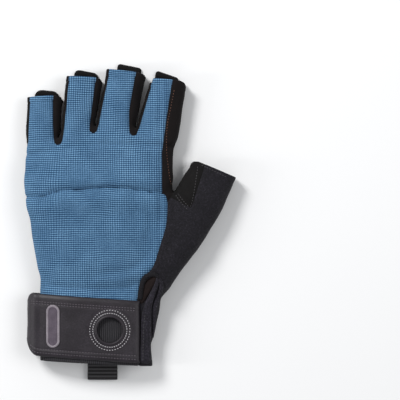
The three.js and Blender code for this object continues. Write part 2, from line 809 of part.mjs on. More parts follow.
// Side view of a flattened loop: the lower layer runs on past the loop by a tail
function loopProfile(reach, thickness, space, tail) {
  const outer = thickness + space / 2;
  const end = -reach + outer;
  return [
    [tail, 0],
    [tail, thickness],
    ...arcPoints([end, outer], space / 2, 270, 90, 4),
    [-seamGap, outer + space / 2],
    [-seamGap, 2 * outer],
    ...arcPoints([end, outer], outer, 90, 270, 8),
  ];
}

function loopSolid(profile, width) {
  const shape = new THREE.Shape(counterClockwise(profile).map(([y, z]) => new THREE.Vector2(y, z)));
  const geometry = new THREE.ExtrudeGeometry(shape, { depth: width, bevelEnabled: false });
  geometry.translate(0, 0, -width / 2);
  geometry.rotateX(Math.PI / 2);
  geometry.rotateZ(Math.PI / 2);
  return geometry;
}

function pullLoop() {
  const tail = bandTop - bandHem;
  const geometry = loopSolid(loopProfile(webbingReach, padThickness, webbingSpace, tail), webbingWidth);
  geometry.translate(webbingMiddle, bandHem, 0);
  return { name: 'pull_loop', finish: 'webbing', solid: toSolid(geometry) };
}

function hangLoop(name, side) {
  const geometry = loopSolid(loopProfile(tapeReach, tapeThickness, tapeSpace, -seamGap), tapeWidth);
  geometry.rotateZ(side * tapeTurn * degrees);
  const clear = (tapeWidth / 2) * Math.sin(tapeTurn * degrees);
  geometry.translate(webbingMiddle + side * tapeOffset, bandHem - clear, palmLift);
  return { name, finish: 'webbing', solid: toSolid(geometry) };
}

// The glove

const pieces = [
  ...cutPanels(panelPlan),
  ...padPieces(),
  ...fingers.map(fingerTab),
  cuffEdgeFold(),
  ...strapPieces(),
  pullLoop(),
  hangLoop('hang_loop_little_side', -1),
  hangLoop('hang_loop_thumb_side', 1),
];

const group = new THREE.Group();
for (const { name, finish, solid } of pieces) {
  const material = new THREE.MeshStandardMaterial(finishes[finish]);
  const mesh = new THREE.Mesh(mainBody(solid), material);
  mesh.name = name;
  group.add(mesh);
}

// The origin is on the floor under the middle of the glove
const bounds = new THREE.Box3().setFromObject(group);
const middle = bounds.getCenter(new THREE.Vector3());
group.position.set(-middle.x, -middle.y, -bounds.min.z);

export default group;
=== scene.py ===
"""A fingerless climbing glove for the left hand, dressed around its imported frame.

Shapes are worked out in the glove's own millimetres, where x runs across the hand from the
little finger to the thumb, y from the hem to the fingertips and z up from the floor. The same
tables set the outlines here and in the frame, so a piece lies where its solids are.
"""

import math

import bpy
import numpy as np
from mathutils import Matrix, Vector
from mathutils.bvhtree import BVHTree
from mathutils.kdtree import KDTree


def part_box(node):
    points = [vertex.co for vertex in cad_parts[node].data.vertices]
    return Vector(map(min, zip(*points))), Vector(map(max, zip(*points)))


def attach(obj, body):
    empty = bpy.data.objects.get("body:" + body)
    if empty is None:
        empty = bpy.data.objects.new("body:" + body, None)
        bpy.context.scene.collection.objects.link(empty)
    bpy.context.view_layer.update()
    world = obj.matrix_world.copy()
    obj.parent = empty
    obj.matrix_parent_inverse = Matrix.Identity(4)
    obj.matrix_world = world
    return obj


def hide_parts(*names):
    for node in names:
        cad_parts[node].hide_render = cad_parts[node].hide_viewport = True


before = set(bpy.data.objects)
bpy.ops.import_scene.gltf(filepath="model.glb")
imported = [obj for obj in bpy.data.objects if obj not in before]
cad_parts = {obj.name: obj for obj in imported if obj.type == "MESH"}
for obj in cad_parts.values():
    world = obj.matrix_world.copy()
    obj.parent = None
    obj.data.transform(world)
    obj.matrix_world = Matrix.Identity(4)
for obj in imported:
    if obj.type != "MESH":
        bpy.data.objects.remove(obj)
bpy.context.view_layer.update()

# The frame's own sizes, in millimetres
PIXEL = 0.66
PALM_WIDTH, HAND_LENGTH, KNUCKLE_HEIGHT = 99.0, 143.0, 23.0
FINGER_LENGTH, FINGER_HEIGHT = 58.0, 15.0
THUMB_WIDTH, THUMB_HEIGHT = 35.0, 19.5
SHELL_WALL, SEAM_GAP, PAD = 1.5, 0.3, 1.3
TAB_REACH, TAB_SEAT = 4.6, 7.0
BAND_TOP, BAND_HEM, GUSSET_TOP = 47.0, 11.0, 37.0
STRAP_WIDTH, STRAP_WALL, STRAP_END, STRAP_MIDDLE = 40.0, 2.0, 26.4, 19.6
STRAP_LEAN, STRAP_LIFT, STRAP_OVERHANG, STRAP_TURN, STRAP_CORNER = 0.068, 0.4, 8.9, 5.2, 8.0
HOLE_RADIUS, HOLE_FROM_END = 8.2, 18.8
BADGE_WIDTH, BADGE_HEIGHT, BADGE_FROM_END = 9.0, 28.0, 55.8
WEB_WIDTH, WEB_MIDDLE, WEB_REACH, WEB_SPACE, RIB_PITCH = 19.8, 2.0, 24.2, 1.2, 2.4
TAPE_WIDTH, TAPE_REACH, TAPE_WALL, TAPE_SPACE, TAPE_TURN, TAPE_OFFSET = 12, 6.6, 1, 1, 12, 20.6
WIDEST, TOP_POWER, BOTTOM_POWER, BOTTOM_DEPTH = 0.42, 2.4, 3.0, 1.15
PALM_LIFT = PAD + SEAM_GAP
INNER_FLOOR = PALM_LIFT + SHELL_WALL
BACK_SEAM = PALM_LIFT + WIDEST * FINGER_HEIGHT
SIDE_SEAM = INNER_FLOOR + 1.2
SKY = 3 * KNUCKLE_HEIGHT
FINGER_LINE = 0.928 * HAND_LENGTH
PALM_EDGE = SHELL_WALL + 0.2
STRIP_MIDDLE = 0.57

# Cross-sections of the hand: along, left, right, high and turn, in the frame's shares
HAND_ROWS = np.array([
    (-0.006, -0.389, 0.354, 0.74, 2.8), (0.315, -0.389, 0.354, 0.74, 0),
    (0.37, -0.388, 0.358, 0.78, 0), (0.438, -0.41, 0.393, 0.87, 0),
    (0.522, -0.43, 0.446, 0.93, 0), (0.605, -0.447, 0.487, 0.97, 0),
    (0.688, -0.467, 0.493, 0.99, 0), (0.745, -0.482, 0.492, 0.99, 0),
    (0.785, -0.491, 0.493, 0.95, 0), (0.825, -0.497, 0.495, 1, 0),
    (0.875, -0.499, 0.499, 0.94, 0), (0.937, -0.497, 0.507, 0.83, 0),
    (0.992, -0.493, 0.513, 0.71, 0), (1.002, -0.379, 0.394, 0.69, 0),
    (1.021, -0.141, 0.394, 0.67, 0), (1.044, -0.136, 0.394, 0.65, 0),
    (1.063, -0.126, 0.116, 0.64, 0),
])
# Finger tubes: place and width at root and tip, reach, height, lean, strip widths, web, tab
FINGERS = [
    dict(name="little", root=-0.384, tip=-0.363, root_width=0.227, tip_width=0.229, reach=0.717,
         high=0.94, lean=0.06, strips=(0.019, 0.045, 0.055), web=0.997,
         tab_at=0.05, tab_width=0.74, tab_round=0.3, tab_slant=-0.05),
    dict(name="ring", root=-0.167, tip=-0.098, root_width=0.212, tip_width=0.237, reach=0.936,
         high=1, lean=-0.06, strips=(0.022, 0.033, 0.038), web=1.052,
         tab_at=0.03, tab_width=0.69, tab_round=0.22, tab_slant=-0.06),
    dict(name="middle", root=0.063, tip=0.183, root_width=0.268, tip_width=0.261, reach=1,
         high=1.02, lean=-0.12, strips=(-0.012, 0.06, 0.066), web=1.039,
         tab_at=0.045, tab_width=0.62, tab_round=0.12, tab_slant=0),
    dict(name="index", root=0.346, tip=0.461, root_width=0.316, tip_width=0.238, reach=0.905,
         high=1, lean=-0.1, strips=(0.089, 0.093, 0.091), web=None,
         tab_at=-0.06, tab_width=0.67, tab_round=0.12, tab_slant=-0.12),
]
# Cross-sections of the thumb from its open end: at, along, turn, wide and high
THUMB_ROWS = np.array([
    (0.767, 0.886, 23, 0.869, 0.77), (0.657, 0.734, 27, 0.96, 0.9), (0.513, 0.586, 32, 1, 1),
    (0.346, 0.424, 35, 0.971, 0.95), (0.273, 0.322, 28, 0.857, 0.74),
    (0.288, 0.185, 10, 0.543, 0.69), (0.273, 0.07, 3, 0.44, 0.62),
])
KNUCKLE_SEAM = [
    (0.755, -1.2), (0.762, -0.75), (0.776, -0.62), (0.785, -0.47), (0.79, -0.22),
    (0.799, 0.11), (0.794, 0.4), (0.785, 0.58), (0.773, 0.86),
]
BACK_EDGE = [
    (0.771, 0.9), (0.745, 0.925), (0.715, 0.93), (0.63, 0.913), (0.55, 0.896), (0.49, 0.912),
    (0.43, 0.922), (0.383, 0.82), (0.355, 0.785), (0.3, 0.74),
]
CROTCH_SEAM = [(0.735, 0.5), (0.735, 0.93), (0.768, 1)]
CROTCH_GAP = [(0.93, 1.14), (1.4, 1.5)]
THENAR_SEAM = [(0.757, 0.9), (0.643, 0.695), (0.536, 0.568), (0.474, 0.537)]
WRIST_GUSSET = [
    (0.27, 0.76), (0.3, 0.8), (0.36, 0.85), (0.395, 0.98), (0.405, 1.05),
    (0.375, 1.1), (0.33, 1.02), (0.27, 0.86),
]
TERRY_ON_PALM = [(3.9, -0.6), (2.6, -0.3), (2, 0.1), (1.5, 0.42), (1, 0.6), (0, 0.79)]
TERRY_ON_BACK = [(1.22, -0.09), (0, -0.43)]
UPPER_PAD = [
    (0.915, -0.7), (0.91, -0.2), (0.917, 0.35), (0.945, 0.62), (0.985, 0.86), (1.015, 0.74),
    (1.045, 0.5), (1.05, 0.1), (1.05, -0.15), (1.02, -0.38), (0.985, -0.62), (0.95, -0.76),
]
INDEX_PAD = [
    (0.775, 0.8), (0.775, 0.6), (0.8, 0.42), (0.84, 0.34), (0.88, 0.34), (0.905, 0.4),
    (0.935, 0.64), (0.972, 0.86), (0.94, 0.88), (0.85, 0.88),
]
HEEL_PAD = [
    (0.36, -0.72), (0.48, -0.78), (0.6, -0.8), (0.69, -0.74), (0.715, -0.3), (0.7, 0.3),
    (0.66, 0.5), (0.56, 0.42), (0.46, 0.36), (0.36, 0.38),
]

# The frame's origin, found from the webbing, whose place in the glove is known
web_low, web_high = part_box("pull_loop")
OFFSET = np.array([
    (web_low[0] + web_high[0]) * 500 - WEB_MIDDLE,
    web_high[1] * 1000 - BAND_TOP,
    0.0,
])


# Small helpers

def smooth(a, b, x):
    t = np.clip((np.asarray(x, float) - a) / (b - a), 0, 1)
    return t * t * (3 - 2 * t)


def bump(x, width):
    return np.exp(-(np.asarray(x, float) / width) ** 2)


def unit(vectors):
    return vectors / np.maximum(np.linalg.norm(vectors, axis=-1, keepdims=True), 1e-12)


def lengths(points):
    """How far along a line each of its points lies."""
    return np.r_[0, np.cumsum(np.linalg.norm(np.diff(points, axis=0), axis=1))]


def sampled(values, known, at):
    """Rows of values, known at some places along a line, at other places."""
    return np.stack([np.interp(at, known, column) for column in np.transpose(values)], axis=-1)


def right_of(path):
    """The way to the right of a path in two dimensions, at each of its points."""
    along = unit(np.gradient(path, axis=0))
    return np.stack([along[:, 1], -along[:, 0]], axis=1)


def turned(points, angle, middle):
    """Points in plan turned clockwise about the origin and moved to a place."""
    x, y = np.asarray(points, float)[:, :2].T
    c, s = math.cos(angle), math.sin(angle)
    return np.stack([x * c + y * s, y * c - x * s], axis=1) + middle


def monotone(x, y, at):
    """A smooth curve through the points (x, y) that never swings past them."""
    x, y, at = (np.asarray(v, float) for v in (x, y, at))
    h = np.diff(x)
    m = np.diff(y) / h
    slope = np.zeros_like(y)
    slope[0], slope[-1] = m[0], m[-1]
    w1, w2 = 2 * h[1:] + h[:-1], h[1:] + 2 * h[:-1]
    same = m[:-1] * m[1:] > 0
    left = np.where(same, m[:-1], 1)
    right = np.where(same, m[1:], 1)
    slope[1:-1] = np.where(same, (w1 + w2) / (w1 / left + w2 / right), 0)
    i = np.clip(np.searchsorted(x, at) - 1, 0, len(h) - 1)
    t = np.clip((at - x[i]) / h[i], 0, 1)
    a, b, hi = y[i], y[i + 1], h[i]
    out = (a * (1 + 2 * t) * (1 - t) ** 2 + b * t * t * (3 - 2 * t)
           + hi * slope[i] * t * (1 - t) ** 2 - hi * slope[i + 1] * t * t * (1 - t))
    out = out + np.where(at < x[0], (at - x[0]) * slope[0], 0)
    return out + np.where(at > x[-1], (at - x[-1]) * slope[-1], 0)


def curve(points, closed=False, parts=8):
    """The points joined by a smooth curve through all of them."""
    p = np.asarray(points, float)
    n = len(p)
    out = []
    for i in range(n if closed else n - 1):
        a, b = p[i], p[(i + 1) % n]
        before = p[i - 1] if closed or i > 0 else 2 * a - b
        after = p[(i + 2) % n] if closed or i < n - 2 else 2 * b - a
        for k in range(parts):
            t = k / parts
            out.append(0.5 * (2 * a + (b - before) * t
                              + (2 * before - 5 * a + 4 * b - after) * t * t
                              + (3 * a - before - 3 * b + after) * t ** 3))
    if not closed:
        out.append(p[-1])
    return np.array(out)


def even(points, step, closed=False):
    """The same line with points at even steps."""
    p = np.asarray(points, float)
    if closed:
        p = np.vstack([p, p[:1]])
    d = lengths(p)
    at = np.linspace(0, d[-1], max(2, int(round(d[-1] / step))) + 1)
    return sampled(p, d, at[:-1] if closed else at)


def inside(points, outline):
    """Signed distance from points to an outline in plan, more than 0 within it."""
    x, y = np.asarray(points, float)[:, :2].T
    line = np.asarray(outline, float)[:, :2]
    odd = np.zeros(len(x), bool)
    for (ax, ay), (bx, by) in zip(line, np.roll(line, -1, axis=0)):
        if ay != by:
            odd ^= ((y > ay) != (y > by)) & (x - ax < (bx - ax) * (y - ay) / (by - ay))
    return np.where(odd, 1, -1) * line_distance(points, np.vstack([line, line[:1]]))[0]


def line_distance(points, line):
    """Distance in plan to an open line, and on which side of it a point lies."""
    points = np.asarray(points, float)[:, :2]
    line = np.asarray(line, float)[:, :2]
    best = np.full(len(points), 1e9)
    side = np.zeros(len(points))
    for (ax, ay), (bx, by) in zip(line[:-1], line[1:]):
        ex, ey = bx - ax, by - ay
        px, py = points[:, 0] - ax, points[:, 1] - ay
        t = np.clip((px * ex + py * ey) / max(ex * ex + ey * ey, 1e-12), 0, 1)
        d = (px - ex * t) ** 2 + (py - ey * t) ** 2
        near = d < best
        best = np.where(near, d, best)
        side = np.where(near, np.sign(ex * py - ey * px), side)
    return np.sqrt(best), side


def waves(points, scale, seed):
    """Slow, smooth unevenness between about -1 and 1, the same at every run."""
    rng = np.random.default_rng(seed)
    out = np.zeros(len(points))
    for _ in range(7):
        way = rng.normal(size=3)
        way /= np.linalg.norm(way)
        size = 2 * math.pi / (scale * rng.uniform(0.7, 1.5))
        out += np.sin(points @ way * size + rng.uniform(0, 6.28))
    return out / 3.2


def px(x, y):
    """A pixel of the photograph as a place in plan."""
    return ((x - 99) * PIXEL, (361 - y) * PIXEL)


# The hand's measures

def hand_at(along):
    left = monotone(HAND_ROWS[:, 0], HAND_ROWS[:, 1], along) * PALM_WIDTH
    right = monotone(HAND_ROWS[:, 0], HAND_ROWS[:, 2], along) * PALM_WIDTH
    return (left + right) / 2, (right - left) / 2


def hand_point(row):
    middle, half = hand_at(row[0])
    return (float(middle + row[1] * half), row[0] * HAND_LENGTH)


def palm_point(row):
    return (row[1] * PALM_WIDTH / 2, row[0] * HAND_LENGTH)


def thumb_at(place):
    """Centre, turn, half width and height of the thumb at a row number, which may lie between."""
    rows = np.arange(len(THUMB_ROWS))
    x, y, turn, wide, high = (monotone(rows, THUMB_ROWS[:, k], place) for k in range(5))
    return x * PALM_WIDTH, y * HAND_LENGTH, np.radians(turn), wide * THUMB_WIDTH / 2, high * THUMB_HEIGHT


def thumb_point(row):
    place, across = row
    x, y, turn, half, _ = thumb_at(max(place, 0.0))
    if place < 0:
        x, y = x + 25 * -place * math.sin(turn), y + 25 * -place * math.cos(turn)
    return (float(x + across * half * math.cos(turn)), float(y - across * half * math.sin(turn)))


def finger_at(finger, share):
    """Centre, turn, half width and height of a finger, from its root 0 to its open end 1."""
    share = np.asarray(share, float)
    x = PALM_WIDTH * (finger["root"] + (finger["tip"] - finger["root"]) * share)
    y = FINGER_LINE + FINGER_LENGTH * finger["reach"] * share
    wide = finger["root_width"] + (finger["tip_width"] - finger["root_width"]) * share
    high = FINGER_HEIGHT * finger["high"] * (1 - 0.03 * share)
    turn = -np.arctan(finger["lean"]) * share
    return x, y, turn, PALM_WIDTH * wide / 2, high


def finger_edges(finger, share):
    """Left and right edge of a finger's back panel in plan."""
    x, y, turn, half, _ = finger_at(finger, share)
    strip = np.interp(share, (0, STRIP_MIDDLE, 1), finger["strips"]) * PALM_WIDTH
    slope = math.tan(-turn)
    left = x - half + PALM_EDGE
    right = x + half - strip
    return (float(left), float(y + slope * (left - x))), (float(right), float(y + slope * (right - x)))


# Meshes as arrays

def rings(x, y, turn, half, height, sides):
    """Closed cross-sections with even sides, one for each place along a tube."""
    angle = np.linspace(0, 2 * math.pi, 1441)
    c, s = np.cos(angle), np.sin(angle)
    power = np.where(s >= 0, 2 / TOP_POWER, 2 / BOTTOM_POWER)
    u = np.sign(c) * np.abs(c) ** power
    w = np.sign(s) * np.abs(s) ** power
    soft = 0.3
    out = []
    for cx, cy, turned, wide, high in zip(x, y, turn, half, height):
        reach = u * wide
        z = WIDEST * high + np.where(w >= 0, w * (1 - WIDEST) * high, w * BOTTOM_DEPTH * WIDEST * high)
        z = PALM_LIFT + soft * np.logaddexp(0, z / soft)
        d = np.r_[0, np.cumsum(np.hypot(np.diff(reach), np.diff(z)))]
        at = np.linspace(0, d[-1], sides + 1)[:-1]
        r, h = np.interp(at, d, reach), np.interp(at, d, z)
        out.append(np.stack([cx + r * math.cos(turned), cy - r * math.sin(turned), h], axis=1))
    return np.array(out)


def ring_faces(rows, sides, start=0, capped=True, wrapped=False):
    """Faces of a tube with so many rows of points, which may run round to the first row again."""
    faces = []
    for r in range(rows if wrapped else rows - 1):
        here, ahead = start + r * sides, start + (r + 1) % rows * sides
        for i in range(sides):
            j = (i + 1) % sides
            faces.append((here + i, here + j, ahead + j, ahead + i))
    if capped:
        last = start + (rows - 1) * sides
        faces.append(tuple(range(start + sides - 1, start - 1, -1)))
        faces.append(tuple(range(last, last + sides)))
    return faces


def sheet_faces(rows, width):
    """Triangles between the points of a grid."""
    i, j = np.meshgrid(np.arange(rows - 1), np.arange(width - 1), indexing="ij")
    k = (i * width + j).ravel()
    return np.vstack([np.stack([k, k + width, k + width + 1], 1), np.stack([k, k + width + 1, k + 1], 1)])


def tube(ring):
    """Points and faces of a closed tube from its rings, with a middle point at each end."""
    count, sides = ring.shape[:2]
    faces = [(a, d, c, b) for a, b, c, d in ring_faces(count, sides, capped=False)]
    last = (count - 1) * sides
    for i in range(sides):
        j = (i + 1) % sides
        faces += [(count * sides, i, j), (count * sides + 1, last + j, last + i)]
    return np.vstack([ring.reshape(-1, 3), ring[0].mean(axis=0), ring[-1].mean(axis=0)]), faces


def new_mesh(name, points, faces):
    mesh = bpy.data.meshes.new(name)
    mesh.from_pydata([tuple(p) for p in np.asarray(points, float)], [], [tuple(map(int, f)) for f in faces])
    mesh.update()
    return mesh


def new_object(name, data):
    made = bpy.data.objects.new(name, data)
    bpy.context.scene.collection.objects.link(made)
    return made


def joined(tubes):
    """All the closed tubes joined into one skin, as points and triangles."""
    objects = [new_object("tube", new_mesh("tube", points, faces)) for points, faces in tubes]
    first = objects[0]
    for other in objects[1:]:
        modifier = first.modifiers.new("join", "BOOLEAN")
        modifier.operation = "UNION"
        modifier.solver = "MANIFOLD"
        modifier.object = other
    ready = first.evaluated_get(bpy.context.evaluated_depsgraph_get()).to_mesh()
    ready.calc_loop_triangles()
    points = np.empty(len(ready.vertices) * 3)
    ready.vertices.foreach_get("co", points)
    triangles = np.empty(len(ready.loop_triangles) * 3, int)
    ready.loop_triangles.foreach_get("vertices", triangles)
    for made in objects:
        mesh = made.data
        bpy.data.objects.remove(made)
        bpy.data.meshes.remove(mesh)
    return points.reshape(-1, 3), triangles.reshape(-1, 3)


def packed(points, faces):
    """Only the points that the faces use."""
    used, back = np.unique(faces, return_inverse=True)
    return points[used], back.reshape(faces.shape)


def normals(points, faces):
    a, b, c = (points[faces[:, k]] for k in range(3))
    out = np.zeros_like(points)
    for k in range(3):
        np.add.at(out, faces[:, k], np.cross(b - a, c - a))
    return unit(out)


def upright(points, faces):
    """The faces of an open sheet, turned so that they look up."""
    return faces if normals(points, faces)[:, 2].mean() > 0 else faces[:, ::-1]


def pairs_of(faces):
    return np.vstack([faces[:, [0, 1]], faces[:, [1, 2]], faces[:, [2, 0]]])


def edges_of(faces):
    return np.unique(np.sort(pairs_of(faces), axis=1), axis=0)


def rim_of(faces):
    """Directed edges that only one triangle has."""
    pairs = pairs_of(faces)
    _, back, count = np.unique(np.sort(pairs, axis=1), axis=0, return_inverse=True, return_counts=True)
    return pairs[count[back.ravel()] == 1]


def at_rim(points, faces):
    """Whether each point lies at the rim."""
    rim = np.zeros(len(points), bool)
    rim[rim_of(faces).ravel()] = True
    return rim


def relaxed(points, faces, weight, times):
    """Points drawn towards their neighbours' middle, each as far as its weight says."""
    edges = edges_of(faces)
    count = np.bincount(edges.ravel(), minlength=len(points)).astype(float)
    weight = np.where(count > 0, weight, 0)
    points = points.copy()
    for _ in range(times):
        total = np.zeros_like(points)
        np.add.at(total, edges[:, 0], points[edges[:, 1]])
        np.add.at(total, edges[:, 1], points[edges[:, 0]])
        points += weight[:, None] * (total / np.maximum(count, 1)[:, None] - points)
    return points


def nearest(points, targets):
    """Distance from each point to the nearest target, and which it is."""
    tree = KDTree(len(targets))
    for i, t in enumerate(targets):
        tree.insert(t, i)
    tree.balance()
    found = [tree.find(p) for p in points]
    return np.array([f[2] for f in found]), np.array([f[1] for f in found])


SNAP = 0.22


def cut(points, faces, value):
    """Splits the triangles where the value changes sign: (points, faces above, faces below)."""
    points, value = points.copy(), value.copy()
    edges = edges_of(faces)
    a, b = edges[value[edges[:, 0]] * value[edges[:, 1]] < 0].T
    t = value[a] / (value[a] - value[b])
    place = points[a] + t[:, None] * (points[b] - points[a])
    for who, near in ((a, t < SNAP), (b, t > 1 - SNAP)):
        points[who[near]] = place[near]
        value[who[near]] = 0
    a, b = edges[value[edges[:, 0]] * value[edges[:, 1]] < 0].T
    share = (value[a] / (value[a] - value[b]))[:, None]
    middle = {pair: len(points) + k for k, pair in enumerate(zip(a.tolist(), b.tolist()))}
    points = np.vstack([points, points[a] + share * (points[b] - points[a])])
    sign = np.sign(value)[faces]
    high = (sign >= 0).all(axis=1)
    low = (sign <= 0).all(axis=1) & ~high
    new = {1: [], -1: []}
    for face, signs in zip(faces[~high & ~low].tolist(), sign[~high & ~low].astype(int).tolist()):
        odd = -sum(signs)
        k = signs.index(odd)
        o, p, q = face[k:] + face[:k]
        if odd == 0:
            m = middle[min(p, q), max(p, q)]
            new[signs[(k + 1) % 3]].append((o, p, m))
            new[signs[(k + 2) % 3]].append((o, m, q))
        else:
            m, n = (middle[min(o, v), max(o, v)] for v in (p, q))
            new[odd].append((o, m, n))
            new[-odd] += [(m, p, q), (m, q, n)]
    above, below = (np.vstack([faces[whole], np.reshape(new[way], (-1, 3)).astype(int)])
                    for whole, way in ((high, 1), (low, -1)))
    return points, above, below


def closed_skin(upper, lower, faces, between=()):
    """A closed skin from two sheets alike, whose rims are joined by the rows of points between."""
    rim = rim_of(faces)
    on_rim, index = np.unique(rim, return_inverse=True)
    a, b = index.reshape(rim.shape).T
    count, ring = len(upper), np.arange(len(on_rim))
    rows = [on_rim, *(2 * count + k * len(ring) + ring for k in range(len(between))), on_rim + count]
    made = [faces, faces[:, ::-1] + count]
    for near, far in zip(rows, rows[1:]):
        made += [np.stack([near[b], near[a], far[a]], 1), np.stack([near[b], far[a], far[b]], 1)]
    return np.vstack([upper, lower, *between]), np.vstack(made)


def thick(points, faces, wall, steps=3, swell=0.9):
    """Closed cloth: the open sheet is its outer face, and its rim is round."""
    normal = normals(points, faces)
    rim = rim_of(faces)
    a, b = rim.T
    side = np.cross(points[b] - points[a], normal[a] + normal[b])
    out = np.zeros_like(points)
    for k in range(2):
        np.add.at(out, rim[:, k], side)
    reach = np.broadcast_to(wall, len(points))[:, None] / 2
    middle, out = points - normal * reach, unit(out)
    angles = math.pi * np.arange(1, steps + 1) / (steps + 1)
    between = [(middle + reach * (normal * math.cos(t) + out * math.sin(t) * swell))[np.unique(rim)]
               for t in angles]
    return closed_skin(points, points - 2 * normal * reach, faces, between)


def flat_sheet(low, high, step, value):
    """A flat sheet of triangles between two corners, cut out where the value of its places is above 0."""
    a, b = (np.arange(low[k], high[k], step) for k in range(2))
    grid = np.stack(np.meshgrid(a, b, indexing="ij"), -1).reshape(-1, 2)
    flat, faces, _ = cut(np.c_[grid, np.zeros(len(grid))], sheet_faces(len(a), len(b)), value(grid))
    return packed(flat, faces)


# Objects

def piece(name, points, faces, look, *nodes, slot=None):
    """One visible piece of the glove, which rides on the root and stands for its nodes."""
    mesh = new_mesh(name, (np.asarray(points, float) + OFFSET) / 1000, faces)
    mesh.materials.append(M[look])
    mesh.polygons.foreach_set("use_smooth", [True] * len(mesh.polygons))
    made = new_object(name, mesh)
    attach(made, "root")
    if nodes:
        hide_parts(*nodes)
    return made


# The whole skin

def skin_tubes():
    along = np.linspace(HAND_ROWS[0, 0], HAND_ROWS[-1, 0], 122)
    middle, half = hand_at(along)
    high = monotone(HAND_ROWS[:, 0], HAND_ROWS[:, 3], along) * KNUCKLE_HEIGHT
    turn = np.radians(np.interp(along, HAND_ROWS[:, 0], HAND_ROWS[:, 4]))
    made = [tube(rings(middle, along * HAND_LENGTH, turn, half, high, 176))]
    for finger in FINGERS:
        share = np.linspace(-0.12, 1, 54)
        x, y, turn, half, high = finger_at(finger, share)
        half = half * (0.93 + 0.07 * smooth(-0.05, 0.2, share))
        high = high * (0.95 + 0.05 * smooth(-0.05, 0.2, share))
        made.append(tube(rings(x, y, turn, half, high, 60)))
    place = np.linspace(len(THUMB_ROWS) - 1, 0, 108)
    x, y, turn, half, high = thumb_at(place)
    made.append(tube(rings(x, y, turn, half, high, 76)))
    return made


def end_planes():
    """The name, middle, way out and reach of every open end."""
    ends = [(finger["name"], *finger_at(finger, 1)[:4]) for finger in FINGERS]
    ends.append(("thumb", *thumb_at(0)[:4]))
    along, turn = HAND_ROWS[0, 0], math.radians(HAND_ROWS[0, 4])
    middle, half = hand_at(along)
    ends.append(("wrist", middle, along * HAND_LENGTH, turn + math.pi, half))
    return [(name, np.array([x, y]), np.array([math.sin(turn), math.cos(turn)]), half)
            for name, x, y, turn, half in ends]


ENDS = end_planes()
KNUCKLE_LINE = curve([hand_point(r) for r in KNUCKLE_SEAM])
FINGER_CREASE = curve([px(*p) for p in [
    (14, 158), (24, 156), (50, 151), (80, 146), (120, 145), (160, 146), (172, 147)]])


def right_palm(x, y):
    """A place on the other glove's palm in the photograph, brought to this one."""
    return (((x - 191) * 1.04 - 75) * PIXEL, (312.3 - 0.905 * y) * PIXEL)


# Soft folds as lines over the photograph's pixels, each with its height and half width
BACK_FOLDS = [
    ([(48, 291), (75, 294), (105, 296.5), (138, 297.5)], 0.6, 2.0),
    ([(48, 285), (90, 288.5), (125, 288), (143, 281)], -0.6, 1.7),
    ([(98, 280), (128, 277.5), (146, 268), (158, 260)], 0.75, 2.8),
    ([(104, 272), (130, 268), (150, 254)], -0.4, 2.2),
    ([(55, 278), (85, 280)], 0.25, 2.4),
    ([(134, 188), (136.5, 215), (134, 250)], -0.16, 1.1),
    ([(146, 186), (149.5, 215), (147, 246)], -0.2, 1.2),
    ([(140, 188), (143, 215), (140.5, 248)], 0.14, 1.5),
    ([(154, 190), (157.5, 215), (155, 240)], 0.14, 1.4),
    ([(33, 205), (39, 236), (43, 268)], 0.28, 2.6),
    ([(60, 136), (64, 146), (62, 156)], -0.22, 2.0),
    ([(95, 134), (97, 146), (94, 157)], -0.22, 2.0),
    ([(134, 132), (133, 144), (134, 156)], -0.2, 2.0),
    ([(177.5, 190), (190, 205)], 0.7, 1.0),
    ([(180.3, 187.6), (192.5, 201.5)], -0.6, 0.8),
    ([(183.2, 185.4), (194.5, 198.5)], 0.65, 1.0),
    ([(186, 183), (195.5, 194.5)], -0.4, 0.8),
    ([(198.8, 168.5), (228, 182)], -0.3, 0.7),
    ([(174, 199), (192, 214), (214, 224)], 0.45, 2.6),
    ([(171, 208), (186, 228), (196, 246)], 0.4, 3.2),
    ([(168, 262), (180, 248), (196, 238)], 0.4, 3.2),
    ([(166, 250), (176, 238)], -0.3, 2.2),
    ([(168, 120), (171, 150), (170, 182)], 0.2, 1.6),
]
PALM_FOLDS = [
    ([(194.7, 115.5), (214, 109.4), (225, 103.3), (239.5, 93.6), (257.7, 92.4), (269.8, 94.8), (301, 91),
      (315.9, 100.9), (336.5, 102)], -0.55, 1.1),
    ([(200.7, 150.4), (240, 146), (284, 141.9)], -0.6, 1.2),
    ([(204, 158), (240, 155), (280, 152)], 0.1, 3.0),
    ([(326.7, 164.3), (308, 172), (296.8, 186.7), (293, 210), (294.7, 231.6)], -0.5, 1.0),
    ([(196, 170), (206, 205), (224, 250)], -0.3, 2.4),
    ([(302, 240), (318, 222), (338, 206)], -0.35, 2.4),
    ([(300, 254), (322, 242), (345, 222)], -0.3, 2.4),
]
# Radius of the strips' corners at the open ends, and how far up the finger they are drawn in
END_ROUND, END_FADE = 2.6, 14.0


def folded(points, lines, place):
    lift = np.zeros(len(points))
    for line, high, wide in lines:
        lift += high * bump(line_distance(points, curve([place(*p) for p in line]))[0], wide)
    return lift


def rounded_ends(points):
    """The finger strips' outer corners at the open ends, drawn back to a curve."""
    points = points.copy()
    for name, centre, out, half in ENDS:
        if name == "wrist":
            continue
        side = np.array([out[1], -out[0]]) * (-1 if name == "thumb" else 1)
        beyond = (points[:, :2] - centre) @ side - (float(half) - END_ROUND)
        inward = -((points[:, :2] - centre) @ out)
        near = (np.abs(beyond) < 3 * END_ROUND) & (inward > -1) & (inward < END_FADE)
        reach = np.clip(beyond, 0, END_ROUND)
        back = END_ROUND - np.sqrt(END_ROUND ** 2 - reach ** 2) * 0.999
        back = back + 0.5 * smooth(-1.2, 0.4, beyond)
        shift = np.where(near, back * (1 - smooth(0, END_FADE, inward)), 0)
        points[:, :2] -= shift[:, None] * out
    return points


